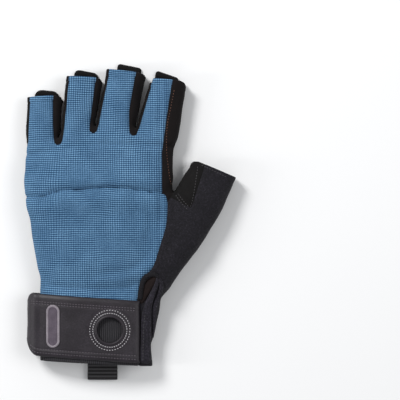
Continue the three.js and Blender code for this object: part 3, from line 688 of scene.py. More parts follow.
def opened(points, faces):
    """Takes the flat caps off the open ends."""
    middle = points[faces].mean(axis=1)
    keep = np.ones(len(faces), bool)
    for _, centre, out, half in ENDS:
        flat = (np.abs((points[faces][:, :, :2] - centre) @ out) < 0.02).all(axis=1)
        keep &= ~(flat & (np.linalg.norm(middle[:, :2] - centre, axis=1) < half * 1.3))
    return packed(points, faces[keep])


SHORT_EDGE = 0.45


def welded(points, faces):
    """The mesh with its short edges drawn together, those at a rim to the rim."""
    for _ in range(6):
        rim = at_rim(points, faces)
        edges = edges_of(faces)
        length = np.linalg.norm(points[edges[:, 0]] - points[edges[:, 1]], axis=1)
        order = np.argsort(length)
        order = order[length[order] < SHORT_EDGE]
        points = points.copy()
        goal, used = np.arange(len(points)), np.zeros(len(points), bool)
        for a, b in edges[order]:
            if used[a] or used[b] or (rim[a] and rim[b]):
                continue
            used[a] = used[b] = True
            if rim[b]:
                a, b = b, a
            if not rim[a]:
                points[a] = (points[a] + points[b]) / 2
            goal[b] = a
        if not used.any():
            break
        faces = goal[faces]
        a, b, c = faces.T
        faces = faces[(a != b) & (b != c) & (c != a)]
        _, back, count = np.unique(np.sort(faces, axis=1), axis=0, return_inverse=True, return_counts=True)
        points, faces = packed(points, faces[count[back.ravel()] == 1])
    return points, faces


def untangled(points, faces, rim):
    """Smooths places where the mesh folds over itself."""
    for _ in range(6):
        normal = normals(points, faces)
        around = relaxed(normal, faces, 1, 2)
        size = np.maximum(np.linalg.norm(around, axis=1), 1e-9)
        bad = ((normal * around).sum(axis=1) < 0.85 * size) & ~rim
        if not bad.any():
            break
        near, _ = nearest(points, points[bad])
        points = relaxed(points, faces, 0.7 * bump(near, 2.0) * ~rim, 15)
    return points


def skin():
    tubes = skin_tubes()
    points, faces = opened(*joined(tubes))
    away, _ = nearest(points, np.vstack([p for p, _ in tubes]))
    joint = points[away > 1e-3]
    points, faces = welded(points, faces)
    near, _ = nearest(points, joint)
    rim = at_rim(points, faces)
    points = relaxed(points, faces, 0.5 * bump(near, 5.0) * ~rim, 70)
    return untangled(points, faces, rim), faces


def shaped(points, faces):
    """The skin with its puffed seams, folds and unevenness."""
    normal = normals(points, faces)
    up = smooth(-0.1, 0.6, normal[:, 2])
    down = smooth(0.1, 0.6, -normal[:, 2])
    lift = 0.28 * waves(points, 34, 3) + 0.1 * waves(points, 13, 4)
    d, side = line_distance(points, KNUCKLE_LINE)
    puff = np.where(side < 0, 1.25 * bump(d - 7.5, 6.5), 0.35 * bump(d - 4, 4))
    lift += up * (puff - 0.85 * bump(d, 1.6))
    d, _ = line_distance(points, FINGER_CREASE)
    lift += up * (0.5 * bump(d - 4.5, 3.5) - 0.95 * bump(d, 1.3))
    lift += up * folded(points, BACK_FOLDS, px) + down * folded(points, PALM_FOLDS, right_palm)
    lift = np.where(lift > 0, lift * (1 - 0.9 * down), lift)
    return rounded_ends(points + normal * lift[:, None])


SKIN_POINTS, SKIN_FACES = skin()
SKIN_POINTS = shaped(SKIN_POINTS, SKIN_FACES)


# The panels' outlines

def slit_end(finger, neighbour):
    bottom = finger["web"] * HAND_LENGTH
    probe = bottom + 0.018 * PALM_WIDTH
    share = [(probe - FINGER_LINE) / (FINGER_LENGTH * f["reach"]) for f in (finger, neighbour)]
    start = finger_edges(finger, share[0])[1][0]
    end = finger_edges(neighbour, share[1])[0][0]
    radius = (end - start) / 2
    angle = np.radians(np.linspace(180, 360, 13))
    return [((start + end) / 2 + radius * math.cos(a), bottom + radius + radius * math.sin(a))
            for a in angle]


STRIP_TAPER = [(0.8, -1.06), (0.86, -1.02), (0.93, -1.0), (0.99, -0.98)]


def knuckle_outline():
    outline = [*KNUCKLE_LINE[::-1], *(hand_point(r) for r in STRIP_TAPER)]
    for i, finger in enumerate(FINGERS):
        shares = np.linspace(0.3, 1.06, 7)
        outline += [finger_edges(finger, s)[0] for s in (shares if i == 0 else shares[1:])]
        outline += [finger_edges(finger, s)[1] for s in shares[:0:-1]]
        if i < 3:
            outline += slit_end(finger, FINGERS[i + 1])
    return outline + [finger_edges(FINGERS[3], 0.1)[1]]


def lower_outline():
    low = GUSSET_TOP + SEAM_GAP
    right = curve([hand_point(r) for r in BACK_EDGE])[1:]
    return [(-1.2 * PALM_WIDTH, low), *KNUCKLE_LINE, *right, (hand_point((0.27, 0.72))[0], low)]


def fourchette_outline(finger, neighbour):
    low = (finger["web"] - 0.05) * HAND_LENGTH
    left, right, far_right, far_left = (
        finger_at(f, s)[:2] for f, s in ((finger, 0), (neighbour, 0), (neighbour, 1.2), (finger, 1.2)))
    return [(left[0], low), (right[0], low), far_right, far_left]


def index_outline():
    return [hand_point(r) for r in CROTCH_SEAM] + [palm_point(r) for r in CROTCH_GAP] \
        + [finger_at(FINGERS[3], 1.2)[:2], finger_at(FINGERS[3], 0)[:2]]


THUMB_END = TERRY_ON_PALM[-1][1]


def beyond_thumb(across):
    return thumb_point((-0.4, across))


def thumb_strip_outline():
    return [thumb_point((1.22, -1.15))] + [thumb_point(r) for r in TERRY_ON_BACK] \
        + [beyond_thumb(-0.43), beyond_thumb(-1.6), thumb_point((0.9, -1.3))]


def terry_line():
    return list(curve([thumb_point(r) for r in TERRY_ON_PALM]))


def thumb_palm_outline():
    thenar = list(curve([hand_point(r) for r in THENAR_SEAM]))
    return thenar + terry_line() + [beyond_thumb(THUMB_END), beyond_thumb(-1.6), thumb_point((0.9, -1.15)),
                                    hand_point((0.772, 1.005))]


def terry_palm_outline():
    low = BAND_TOP + SEAM_GAP
    seam = terry_line()
    return [(seam[0][0], low)] + [p for p in seam if p[1] > low + SEAM_GAP] \
        + [beyond_thumb(THUMB_END), beyond_thumb(2.4), (PALM_WIDTH * 1.1, low)]


def terry_back_outline():
    far = PALM_WIDTH * 1.1
    low = -HAND_LENGTH * 0.1
    return [(STRAP_END + SEAM_GAP, low), (far, low), (far, HAND_LENGTH), (PALM_WIDTH * 0.6, HAND_LENGTH),
            hand_point((0.77, 0.8)), hand_point((0.45, 0.6)), (STRAP_END + SEAM_GAP, GUSSET_TOP)]


def box_outline(x0, y0, x1, y1):
    return [(x0, y0), (x1, y0), (x1, y1), (x0, y1)]


FAR = 3 * HAND_LENGTH
# Panels in the order in which they are cut: look, wall, drawn-in seam, hem, and outlines with heights
PANELS = [
    ("back_knuckle_panel", "blue_knit", 1.2, 0.5, 0.4, [(knuckle_outline(), BACK_SEAM, SKY)]),
    ("back_lower_panel", "blue_knit", 1.2, 0.5, 0, [(lower_outline(), BACK_SEAM, SKY)]),
    ("cuff_gusset", "cuff_elastic", 1.2, 0.3, 0.2,
     [(box_outline(-PALM_WIDTH, -FAR, STRAP_END, GUSSET_TOP), BACK_SEAM, SKY)]),
    ("wrist_gusset", "gusset_suede", 1.2, 0.8, 0,
     [(curve([hand_point(r) for r in WRIST_GUSSET], True), BACK_SEAM, SKY)]),
    *((f"fourchette_{a['name']}_{b['name']}", "side_suede", 1.1, 0.5, 0.2,
       [(fourchette_outline(a, b), SIDE_SEAM, SKY)]) for a, b in zip(FINGERS, FINGERS[1:])),
    ("index_side_panel", "side_suede", 1.1, 0.5, 0.2, [(index_outline(), SIDE_SEAM, SKY)]),
    ("thumb_palm_panel", "palm_suede", 1.2, 0.45, 0.25,
     [(thumb_strip_outline(), BACK_SEAM, SKY), (thumb_palm_outline(), -1, BACK_SEAM)]),
    ("thumb_terry_panel", "thumb_terry", 1.4, 0.5, 0.3,
     [(terry_back_outline(), BACK_SEAM, SKY), (terry_palm_outline(), -1, BACK_SEAM)]),
    ("cuff_palm_band", "band_twill", 1.4, 0.4, 0,
     [(box_outline(-FAR, BAND_HEM, FAR, BAND_TOP), -1, BACK_SEAM)]),
    ("palm_panel", "palm_suede", 1.2, 0.45, 0.2,
     [(box_outline(-FAR, BAND_TOP, FAR, FAR), -1, BACK_SEAM),
      (box_outline(-FAR, BAND_TOP, -0.3 * PALM_WIDTH, FAR), -1, SKY)]),
]


def cut_panels():
    """The skin cut into the panels, each from what the panels before it have left."""
    points, rest = SKIN_POINTS, SKIN_FACES
    made = {}
    for name, *_, zones in PANELS:
        z = points[:, 2]
        value = np.max([np.minimum(inside(points, outline), np.minimum(z - low, high - z))
                        for outline, low, high in zones], axis=0)
        points, mine, rest = cut(points, rest, value)
        made[name] = largest(points, mine)
    return made


def largest(points, faces):
    """The biggest connected part of a sheet."""
    label, before = np.arange(len(points)), None
    a, b = edges_of(faces).T
    while before is None or (label != before).any():
        before, low = label.copy(), np.minimum(label[a], label[b])
        np.minimum.at(label, a, low)
        np.minimum.at(label, b, low)
        label = label[label]
    names, counts = np.unique(label[faces[:, 0]], return_counts=True)
    return packed(points, faces[label[faces[:, 0]] == names[counts.argmax()]])


SHEETS = cut_panels()


# Materials

def linear(r, g, b):
    out = []
    for v in (r / 255, g / 255, b / 255):
        out.append(v / 12.92 if v <= 0.04045 else ((v + 0.055) / 1.055) ** 2.4)
    return (*out, 1)


class Paint:
    """A material under construction, with short names for its nodes."""

    def __init__(self, name, roughness, specular=0.3, sheen=0.0, sheen_tint=(1, 1, 1, 1)):
        self.material = bpy.data.materials.new(name)
        self.material.use_nodes = True
        self.tree = self.material.node_tree
        self.shader = self.tree.nodes["Principled BSDF"]
        self.feed(self.shader, {"Roughness": roughness, "Specular IOR Level": specular, "Sheen Weight": sheen,
                                "Sheen Roughness": 0.6, "Sheen Tint": sheen_tint})
        place = self.node("ShaderNodeTexCoord", {}).outputs["Object"]
        scaled = self.node("ShaderNodeVectorMath", {0: place, "Scale": 1000}, operation="SCALE")
        self.mm = scaled.outputs[0]
        self.x, self.y, self.z = self.node("ShaderNodeSeparateXYZ", {0: self.mm}).outputs

    def feed(self, node, inputs):
        """Sets a node's inputs, known by name or number, to values or other nodes' outputs."""
        for key, value in inputs.items():
            if isinstance(value, bpy.types.NodeSocket):
                self.tree.links.new(value, node.inputs[key])
            else:
                node.inputs[key].default_value = value

    def node(self, kind, inputs, **settings):
        made = self.tree.nodes.new(kind)
        for key, value in settings.items():
            setattr(made, key, value)
        self.feed(made, inputs)
        return made

    def math(self, operation, *values):
        return self.node("ShaderNodeMath", dict(enumerate(values)), operation=operation).outputs[0]

    def add(self, first, *others):
        """The sum of the values, where a pair is a value and its weight."""
        out = self.math("MULTIPLY", *first) if isinstance(first, tuple) else first
        for value in others:
            if isinstance(value, tuple):
                out = self.math("MULTIPLY_ADD", *value, out)
            else:
                out = self.math("ADD", out, value)
        return out

    def centred(self, value):
        return self.math("SUBTRACT", value, 0.5)

    def ripple(self, value, pitch):
        """0 to 1 and back once for each pitch."""
        turn = self.math("MULTIPLY", value, 2 * math.pi / pitch)
        return self.math("MULTIPLY_ADD", self.math("SINE", turn), 0.5, 0.5)

    def noise(self, size, detail=2.0, rough=0.5):
        """Clouds of about so many millimetres."""
        inputs = {"Vector": self.mm, "Scale": 1 / size, "Detail": detail, "Roughness": rough}
        return self.node("ShaderNodeTexNoise", inputs).outputs["Fac"]

    def cells(self, size):
        return self.node("ShaderNodeTexVoronoi", {"Vector": self.mm, "Scale": 1 / size}).outputs["Distance"]

    def between(self, *values):
        """A value brought from one range to another: value, low, high, low and high after."""
        return self.node("ShaderNodeMapRange", dict(enumerate(values))).outputs[0]

    def ramp(self, value, *stops):
        made = self.node("ShaderNodeValToRGB", {0: value})
        line = made.color_ramp
        while len(line.elements) < len(stops):
            line.elements.new(0.5)
        for element, (at, colour) in zip(line.elements, stops):
            element.position = at
            element.color = linear(*colour)
        return made.outputs[0]

    def mix(self, factor, a, b):
        return self.node("ShaderNodeMix", {0: factor, 6: a, 7: b}, data_type="RGBA").outputs[2]

    def finish(self, colour, height=None, depth=0.1, strength=1.0, roughness=None):
        """Depth is the height's full swing in millimetres."""
        self.feed(self.shader, {"Base Color": colour})
        if roughness is not None:
            self.feed(self.shader, {"Roughness": roughness})
        if height is not None:
            inputs = {"Strength": strength, "Distance": depth / 1000, "Height": height}
            self.feed(self.shader, {"Normal": self.node("ShaderNodeBump", inputs).outputs[0]})
        return self.material


FLANK_X, KNIT_TOP = OFFSET[0] - 0.4 * PALM_WIDTH, 18


def blue_knit(name):
    p = Paint(name, 0.85, 0.1, 0.03, (0.5, 0.7, 0.9, 1))
    warp = p.add(p.y, (p.noise(30, 1), 3.0), (p.noise(5, 1), 0.5))
    flank = p.between(p.x, FLANK_X - 6, FLANK_X + 16, 0.8, 0.0)
    across = p.add(p.x, (p.add(p.z, -KNIT_TOP), flank), (p.noise(30, 1), 2.2))
    patch = p.between(p.noise(32), 0.34, 0.62, 0.12, 0.5)
    bands = p.math("MULTIPLY", p.centred(p.ripple(across, 5.3)), p.between(p.x, 8, 30, 0, 0.16))
    height = p.add((p.ripple(warp, 1.38), 0.62), (p.centred(p.ripple(across, 1.52)), patch),
                   (p.centred(p.noise(0.45, 2, 0.7)), 0.8))
    tone = p.add(height, bands, (p.centred(p.noise(14, 3)), 0.35))
    colour = p.ramp(tone, (0.0, (30, 58, 86)), (0.45, (77, 114, 148)), (1.0, (136, 178, 210)))
    return p.finish(colour, height, 0.18, 0.9)


def suede(name, dark, light, worn):
    p = Paint(name, 0.93, 0.1, 0.02)
    tone = p.add((p.noise(0.5, 4, 0.7), 0.6), (p.noise(11, 3, 0.6), 0.6), -0.1)
    height = p.add((p.noise(0.28, 3, 0.7), 0.7), (p.cells(0.55), 0.5))
    return p.finish(p.ramp(tone, (0.2, dark), (0.62, light), (1.0, worn)), height, 0.12, 0.8)


def terry(name, bright):
    p = Paint(name, 0.8, 0.2, 0.03)
    fuzz, loops = p.noise(0.4, 4, 0.75), p.cells(0.62)
    tufts = p.centred(p.noise(1.2, 2, 0.6))
    tone = p.add((fuzz, 0.75), (loops, 0.35), (p.noise(9, 3, 0.6), 0.4), (tufts, 1.1), -0.35)
    # bright scales the middle and light colours: above 1 it makes a lit copy of the cloth with a painted
    # highlight, below 1 a copy with painted shade.
    middle, light = ([c * bright for c in colour] for colour in ((26, 24, 30), (54, 51, 60)))
    colour = p.ramp(tone, (0.1, (13, 12, 16)), (0.5, middle), (1.0, light))
    return p.finish(colour, p.add(fuzz, (loops, 0.8), tufts), 0.35, 0.9)


def ribbed(p, first, second, depth, dark, middle, light):
    """Cloth with one strong and one weak set of ribs."""
    height = p.add((first, 0.8), second, (p.noise(0.4), 0.25))
    return p.finish(p.ramp(height, (0.1, dark), (0.7, middle), (1.0, light)), height, depth, 0.9)


def band_twill(name):
    p = Paint(name, 0.85, 0.15)
    slant = p.add((p.x, 0.7), (p.y, 0.7), (p.z, 0.4))
    other = p.add((p.x, 0.7), (p.y, -0.7))
    return ribbed(p, p.ripple(slant, 0.95), (p.ripple(other, 0.6), 0.25), 0.18,
                  (22, 22, 24), (44, 43, 46), (64, 63, 67))


def cuff_elastic(name):
    p = Paint(name, 0.85, 0.15)
    across = p.add(p.x, (p.noise(6, 1), 0.4))
    return ribbed(p, p.ripple(across, 1.35), (p.ripple(p.y, 0.6), 0.2), 0.22,
                  (20, 20, 22), (40, 39, 42), (66, 65, 68))


def strap_leather(name):
    p = Paint(name, 0.5, 0.38)
    pores, cloud = p.noise(0.35, 3, 0.6), p.noise(13, 3, 0.6)
    height = p.add((p.cells(0.75), 0.6), (pores, 0.5))
    tone = p.add((cloud, 0.6), (height, 0.35), p.centred(p.noise(0.9, 3, 0.7)))
    colour = p.ramp(tone, (0.1, (17, 13, 17)), (0.5, (32, 27, 33)), (1.0, (56, 50, 58)))
    rough = p.between(p.add((cloud, 0.5), (pores, 0.5)), 0.3, 0.7, 0.43, 0.58)
    return p.finish(colour, height, 0.07, 0.7, rough)


def webbing(name, pitch):
    """Ribbed webbing whose ribs follow the frame's y, as those of its shape do; the gaps between the ribs are
    painted near black as painted shade.
    """
    p = Paint(name, 0.6, 0.3)
    turn = p.math("MULTIPLY", p.add(p.y, -BAND_HEM - OFFSET[1]), math.pi / pitch)
    ridge = p.math("SQRT", p.math("ABSOLUTE", p.math("COSINE", turn)))
    weave = p.add((p.ripple(p.add(p.x, (p.y, 0.5)), 0.7), 0.6), (p.noise(0.35), 0.5))
    colour = p.ramp(weave, (0.1, (34, 33, 34)), (0.8, (74, 72, 75)))
    # Painted shade: a near-black colour is mixed in between the ribs, where the grooves of the shape lie.
    colour = p.mix(p.between(ridge, 0.6, 0.97, 1.0, 0.0), colour, linear(7, 7, 8))
    return p.finish(colour, weave, 0.1, 0.8)


def thread(name, dark, light):
    p = Paint(name, 0.6, 0.35, 0.1)
    twist = p.ripple(p.add(p.x, p.y, p.z), 0.32)
    colour = p.ramp(p.add((twist, 0.5), (p.noise(1.5), 0.5)), (0.2, dark), (0.8, light))
    return p.finish(colour, twist, 0.05, 0.7)


def satin(name, dark, middle, light):
    p = Paint(name, 0.5, 0.3, 0.03)
    lay = p.ripple(p.add(p.y, (p.noise(1.2), 0.35)), 0.42)
    colour = p.ramp(p.add((lay, 0.6), (p.noise(5), 0.5)), (0.15, dark), (0.6, middle), (1.0, light))
    return p.finish(colour, lay, 0.12, 0.8)


TAPE_PITCH = 1.1
MATERIALS = [
    (blue_knit, "blue_knit"),
    (suede, "palm_suede", (14, 13, 14), (25, 24, 24), (44, 40, 40)),
    (suede, "side_suede", (14, 12, 12), (26, 22, 22), (48, 38, 35)),
    (suede, "gusset_suede", (18, 14, 14), (38, 30, 29), (60, 48, 46)),
    (terry, "thumb_terry", 1.0),
    # A lighter copy of the thumb terry for the raised fold: painted highlight.
    (terry, "fold_cloth", 1.4),
    # A darker copy of the thumb terry for the arch of the fold: painted shade.
    (terry, "arch_cloth", 0.75),
    (band_twill, "band_twill"),
    (cuff_elastic, "cuff_elastic"),
    (strap_leather, "strap_leather"),
    # The webbing and tape colours carry painted shade in the gaps between their ribs.
    (webbing, "webbing", RIB_PITCH),
    (webbing, "tape", TAPE_PITCH),
    (satin, "badge_satin", (50, 42, 53), (78, 68, 80), (114, 104, 116)),
    (satin, "badge_border", (96, 89, 96), (138, 130, 138), (178, 170, 176)),
    (thread, "thread_grey", (140, 136, 140), (206, 202, 206)),
    (thread, "thread_dark", (40, 38, 40), (80, 76, 78)),
    (thread, "thread_strap", (44, 38, 44), (112, 104, 112)),
    (thread, "thread_black", (26, 25, 27), (66, 64, 67)),
    (thread, "thread_rust", (70, 42, 32), (120, 76, 54)),
]
M = {name: make(name, *values) for make, name, *values in MATERIALS}


# Panels as cloth

def fine_rim(points, rim):
    a, b = points[rim[:, 0]], points[rim[:, 1]]
    return np.vstack([a + (b - a) * t for t in (0, 0.25, 0.5, 0.75)])


def finished(name, roll, hem):
    """A panel's outer face with turned seams and hemmed open ends."""
    points, faces = SHEETS[name]
    rim = fine_rim(points, rim_of(faces))
    to_open, _ = nearest(rim, OPEN_FINE)
    seam, free = rim[to_open > 0.2], rim[to_open <= 0.2]
    normal = normals(points, faces)
    lift = np.zeros(len(points))
    if len(seam):
        d, _ = nearest(points, seam)
        lift += -roll * bump(d, 1.0) + 0.16 * bump(d - 2.3, 1.0)
    if len(free) and hem:
        d, _ = nearest(points, free)
        lift += hem * smooth(3.6, 2.6, d) - 0.9 * hem * bump(d - 3.1, 0.5)
    return points + normal * lift[:, None], faces


OPEN_FINE = fine_rim(SKIN_POINTS, rim_of(SKIN_FACES))
OUTER = []
for name, look, wall, roll, hem, _ in PANELS:
    sheet = finished(name, roll, hem)
    OUTER.append(sheet)
    piece(name.replace("_panel", "") + "_cloth", *thick(*sheet, wall), look, name)


def tree_of(*sheets):
    points, faces, start = [], [], 0
    for p, f in sheets:
        points.append(p)
        faces.append(f + start)
        start += len(p)
    return BVHTree.FromPolygons(np.vstack(points).tolist(), np.vstack(faces).tolist())


SKIN_TREE = tree_of(*OUTER)


def dropped(line, tree=SKIN_TREE, above=True):
    """Places and normals on the skin under, or over, the points of a line in plan."""
    start, way = (200, -1) if above else (-200, 1)
    places, ways = [], []
    for x, y in np.asarray(line, float)[:, :2]:
        hit, normal, _, _ = tree.ray_cast(Vector((x, y, start)), Vector((0, 0, way)))
        if hit is not None:
            places.append(hit)
            ways.append(-normal if normal.z * way > 0 else normal)
    return np.array(places), np.array(ways)


# Stitches

STITCH_RINGS, STITCH_SIDES = 6, 6
# Distance between the places along a line that is laid on the cloth
LINE_STEP = 0.6


def stitch_row(places, ways, pitch, length, width, sink=0.25):
    """Small arched stitches along a line of places, with the surface's normals."""
    d = lengths(places)
    count = max(1, int(d[-1] / pitch))
    at = (d[-1] - (count - 1) * pitch) / 2 + np.arange(count) * pitch
    middle, way = sampled(places, d, at), unit(sampled(ways, d, at))
    tangent = unit(sampled(places, d, at + 0.3) - sampled(places, d, at - 0.3))
    along = np.linspace(-1, 1, STITCH_RINGS)[:, None]
    turn = np.linspace(0, 2 * math.pi, STITCH_SIDES + 1)[:-1]
    fat = width / 2 * np.sqrt(1 - 0.86 * along ** 4)
    rise = width * (0.32 - sink - 0.55 * along ** 2)
    shape = np.stack(np.broadcast_arrays(along * length / 2, rise + fat * 0.8 * np.sin(turn),
                                         fat * np.cos(turn)), axis=-1).reshape(-1, 3)
    axes = np.stack([tangent, way, np.cross(tangent, way)], axis=1)
    points = (middle[:, None] + shape @ axes).reshape(-1, 3)
    faces = [face for k in range(count) for face in ring_faces(STITCH_RINGS, STITCH_SIDES, k * len(shape))]
    return points, faces


def stitched(name, rows, look, slot):
    """One piece from several rows of stitches."""
    points, faces, start = [], [], 0
    for p, f in rows:
        points.append(p)
        faces += [tuple(i + start for i in face) for face in f]
        start += len(p)
    piece(name, np.vstack(points), faces, look, slot=slot)


def skin_stitches(line, *sizes):
    return stitch_row(*dropped(even(line, LINE_STEP)), *sizes)


INDEX_ROW = [(174.6, 88.7), (172.4, 100.2), (169.6, 114), (167.6, 124.3), (166.6, 140.4),
             (166.8, 151.8), (168, 164), (169.6, 176), (171.5, 186)]
stitched("stitches_index", [skin_stitches(curve([px(*p) for p in INDEX_ROW]), 1.9, 1.2, 0.4)],
         "thread_rust", "side_suede")


# Strap

CUFF_MIDDLE, CUFF_HALF = (float(v) for v in hand_at(0.315))
CUFF_HIGH = 0.74 * KNUCKLE_HEIGHT
CUFF_LEFT = CUFF_MIDDLE - CUFF_HALF
CUFF_LEVEL = PALM_LIFT + WIDEST * CUFF_HIGH


def cuff_height(x, side):
    share = min(1.0, abs(x - CUFF_MIDDLE) / CUFF_HALF)
    if side > 0:
        return CUFF_LEVEL + (1 - WIDEST) * CUFF_HIGH * (1 - share ** TOP_POWER) ** (1 / TOP_POWER)
    return CUFF_LEVEL - BOTTOM_DEPTH * WIDEST * CUFF_HIGH * (1 - share ** BOTTOM_POWER) ** (1 / BOTTOM_POWER)


def strap_path():
    """The strap's inner face seen from the hem, with the way out at each place."""
    top_end = CUFF_MIDDLE - 0.8 * CUFF_HALF
    path = [(x, cuff_height(x, 1) + STRAP_LIFT) for x in np.linspace(STRAP_END, top_end, 12)]
    turn_x = CUFF_LEFT - STRAP_OVERHANG + STRAP_TURN + STRAP_WALL
    turn_high = CUFF_LEVEL - STRAP_WALL - PAD
    for angle in np.radians(np.arange(105, 271, 15)):
        path.append((turn_x + STRAP_TURN * math.cos(angle), CUFF_LEVEL + turn_high * math.sin(angle)))
    seat = CUFF_LEFT + 0.06 * PALM_WIDTH
    path.append((seat, cuff_height(seat, -1) - SEAM_GAP))
    path = even(curve(path), 0.8)
    return path, right_of(path)


STRAP_PATH, STRAP_OUT = strap_path()
STRAP_RUN = lengths(STRAP_PATH)
TOP_COUNT = int(np.argmin(STRAP_PATH[:, 0]))


def strap_centre(x):
    return STRAP_MIDDLE + (STRAP_END - x) * STRAP_LEAN


def strap_point(run, y, lift):
    """A place on the strap by its distance along it, its place across and its height over the inner face."""
    x, z, out_x, out_z = (np.interp(run, STRAP_RUN, v) for v in (*STRAP_PATH.T, *STRAP_OUT.T))
    return np.stack(np.broadcast_arrays(x + out_x * lift, y, z + out_z * lift), axis=-1)


def strap_run(x):
    """Distance along the strap, on its upper side, of a place across the glove."""
    return np.interp(-x, -STRAP_PATH[:TOP_COUNT, 0], STRAP_RUN[:TOP_COUNT])


def strap_edges(x):
    """The strap's lower and upper edge, with its two rounded corners."""
    rise = []
    for radius in (STRAP_CORNER, SMALL_CORNER):
        into = np.clip(CUFF_LEFT - STRAP_OVERHANG + radius - x, 0, radius)
        rise.append(radius - np.sqrt(radius ** 2 - into ** 2))
    middle = strap_centre(x)
    return middle - STRAP_WIDTH / 2 + rise[0], middle + STRAP_WIDTH / 2 - rise[1]


HOLE_X = STRAP_END - HOLE_FROM_END
HOLE_Y = strap_centre(HOLE_X)


def strap_sheet():
    """The strap's outer face, drawn in along its rows of stitches and round its hole."""
    run, share = np.arange(0, STRAP_RUN[-1], STRAP_STEP)[:, None], np.linspace(0, 1, STRAP_COLUMNS)
    x = strap_point(run, 0.0, STRAP_WALL)[..., 0]
    low, high = strap_edges(x)
    y = low + (high - low) * share
    flat = strap_point(run, y, STRAP_WALL)
    from_low, from_high = y - low, high - y
    edge = np.minimum(np.minimum(from_low, from_high), run + 0.3)
    lift = -0.55 * (1 - smooth(0, 1.5, edge)) + 0.16 * bump(edge - 2.9, 1.2)
    for away, rows in ((from_low, LOW_ROWS), (from_high, HIGH_ROWS)):
        for row in rows:
            lift -= 0.22 * bump(away - row, 0.5)
    lift += 0.12 * waves(flat.reshape(-1, 3), 12, 21).reshape(y.shape)
    lift -= 0.25 * (1 - smooth(3.4, 4.4, from_high))
    on_top = run < STRAP_RUN[TOP_COUNT]
    bend = x - px(STRAP_BEND, 0)[0]
    ring = np.hypot(x - HOLE_X, y - HOLE_Y)
    lift += on_top * (0.3 * bump(bend, 1.9) - 0.18 * bump(bend - 3.4, 1.5) + 0.22 * bump(ring - 10.6, 1.4)
                      - 0.2 * bump(ring - 12.0, 0.5) - 0.16 * bump(ring - 14.2, 0.9))
    beyond_hole = np.where(on_top, ring - HOLE_RADIUS - HOLE_ROOM, 9.0)
    points = strap_point(run, y, STRAP_WALL + lift).reshape(-1, 3)
    points, faces, _ = cut(points, sheet_faces(*y.shape), beyond_hole.ravel())
    points, faces = packed(points, faces)
    return points, upright(points, faces)


# Rows of stitches from the strap's lower and upper edge and from the hole's middle
LOW_ROWS, HIGH_ROWS = (1.9, 4.3), (4.6, 6.1)
EYELET_ROWS, EYELET_COUNT = (11.1, 13.1), 46
# The upper corner's radius, how far the leather ends from the hole's edge, and the sheet's grid
SMALL_CORNER, HOLE_ROOM, STRAP_STEP, STRAP_COLUMNS = 3.0, 1.05, 0.75, 57
# Where the strap bends over the glove's side, in the photograph's pixels
STRAP_BEND = 35.5
STRAP_FACE = strap_sheet()
piece("strap_band", *thick(*STRAP_FACE, STRAP_WALL - 0.1), "strap_leather", "wrist_strap")
STRAP_TREE = tree_of(STRAP_FACE)


def revolved(profile, steps=96):
    """A ring round the strap's hole from a closed profile of radius and height over the strap."""
    angle = 2 * math.pi * np.arange(steps)[:, None] / steps
    radius, high = np.transpose(profile)
    x, y = HOLE_X + radius * np.cos(angle), HOLE_Y + radius * np.sin(angle)
    level = strap_point(strap_run(x), 0.0, STRAP_WALL)[..., 2]
    return np.stack([x, y, level + high], -1).reshape(-1, 3), ring_faces(steps, len(profile), 0, False, True)


LIP = curve([(8.9, -1.95), (8.25, -1.9), (8.2, -1.1), (8.2, -0.2), (8.4, 0.42), (8.95, 0.72), (9.6, 0.62),
             (10.15, 0.2), (10.1, 0.1), (9.2, 0.1), (9.0, -0.3), (9.0, -1.2)], True, 3)
piece("strap_eyelet", *revolved(LIP), "strap_leather", "strap_hole_ring")


def strap_stitches(line, *sizes):
    return stitch_row(*dropped(line, STRAP_TREE), *sizes)


def circle(radius, step=0.5):
    angle = np.linspace(0, 2 * math.pi, int(2 * math.pi * radius / step) + 1)
    return np.stack([HOLE_X + radius * np.cos(angle), HOLE_Y + radius * np.sin(angle)], 1)


x = np.linspace(STRAP_END - 1.5, CUFF_LEFT - STRAP_OVERHANG + 2.2, 160)
low, high = strap_edges(x)
stitched("stitches_strap", [strap_stitches(np.stack([x, y], 1), 1.9, 1.25, 0.5, 0.1)
                            for y in [low + row for row in LOW_ROWS] + [high - row for row in HIGH_ROWS]],
         "thread_strap", "strap_leather")
stitched("stitches_eyelet", [strap_stitches(circle(r), 2 * math.pi * r / EYELET_COUNT, 1.05, 0.62, 0.0)
                             for r in EYELET_ROWS], "thread_grey", "badge_thread")


def badge(inner, outer, rise, pitch):
    """A satin stitched bar, or its border, between two distances from the bar's edge."""
    x0 = STRAP_END - BADGE_FROM_END
    half, step = BADGE_WIDTH / 2, 0.3
    corner = np.array([half, BADGE_HEIGHT / 2])

    def within(flat):
        past = np.maximum(np.abs(flat[:, 1]) - (BADGE_HEIGHT - BADGE_WIDTH) / 2, 0)
        edge = half - np.hypot(flat[:, 0], past)
        return np.minimum(edge - outer, inner - edge)

    flat, faces = flat_sheet(-corner - step, corner + 2 * step, step, within)
    high = rise + 0.3 * smooth(0, 0.5, within(flat)) + 0.05 * np.cos(2 * math.pi * flat[:, 1] / pitch)
    points = strap_point(strap_run(x0) - flat[:, 0], strap_centre(x0) + flat[:, 1], STRAP_WALL + high + 0.15)
    return thick(points, upright(points, faces), high, 2)


piece("strap_badge_fill", *badge(9.0, 1.15, 0.3, 0.8), "badge_satin", "strap_badge")
piece("strap_badge_border", *badge(1.35, 0.0, 0.4, 0.6), "badge_border")


# Webbing and tapes

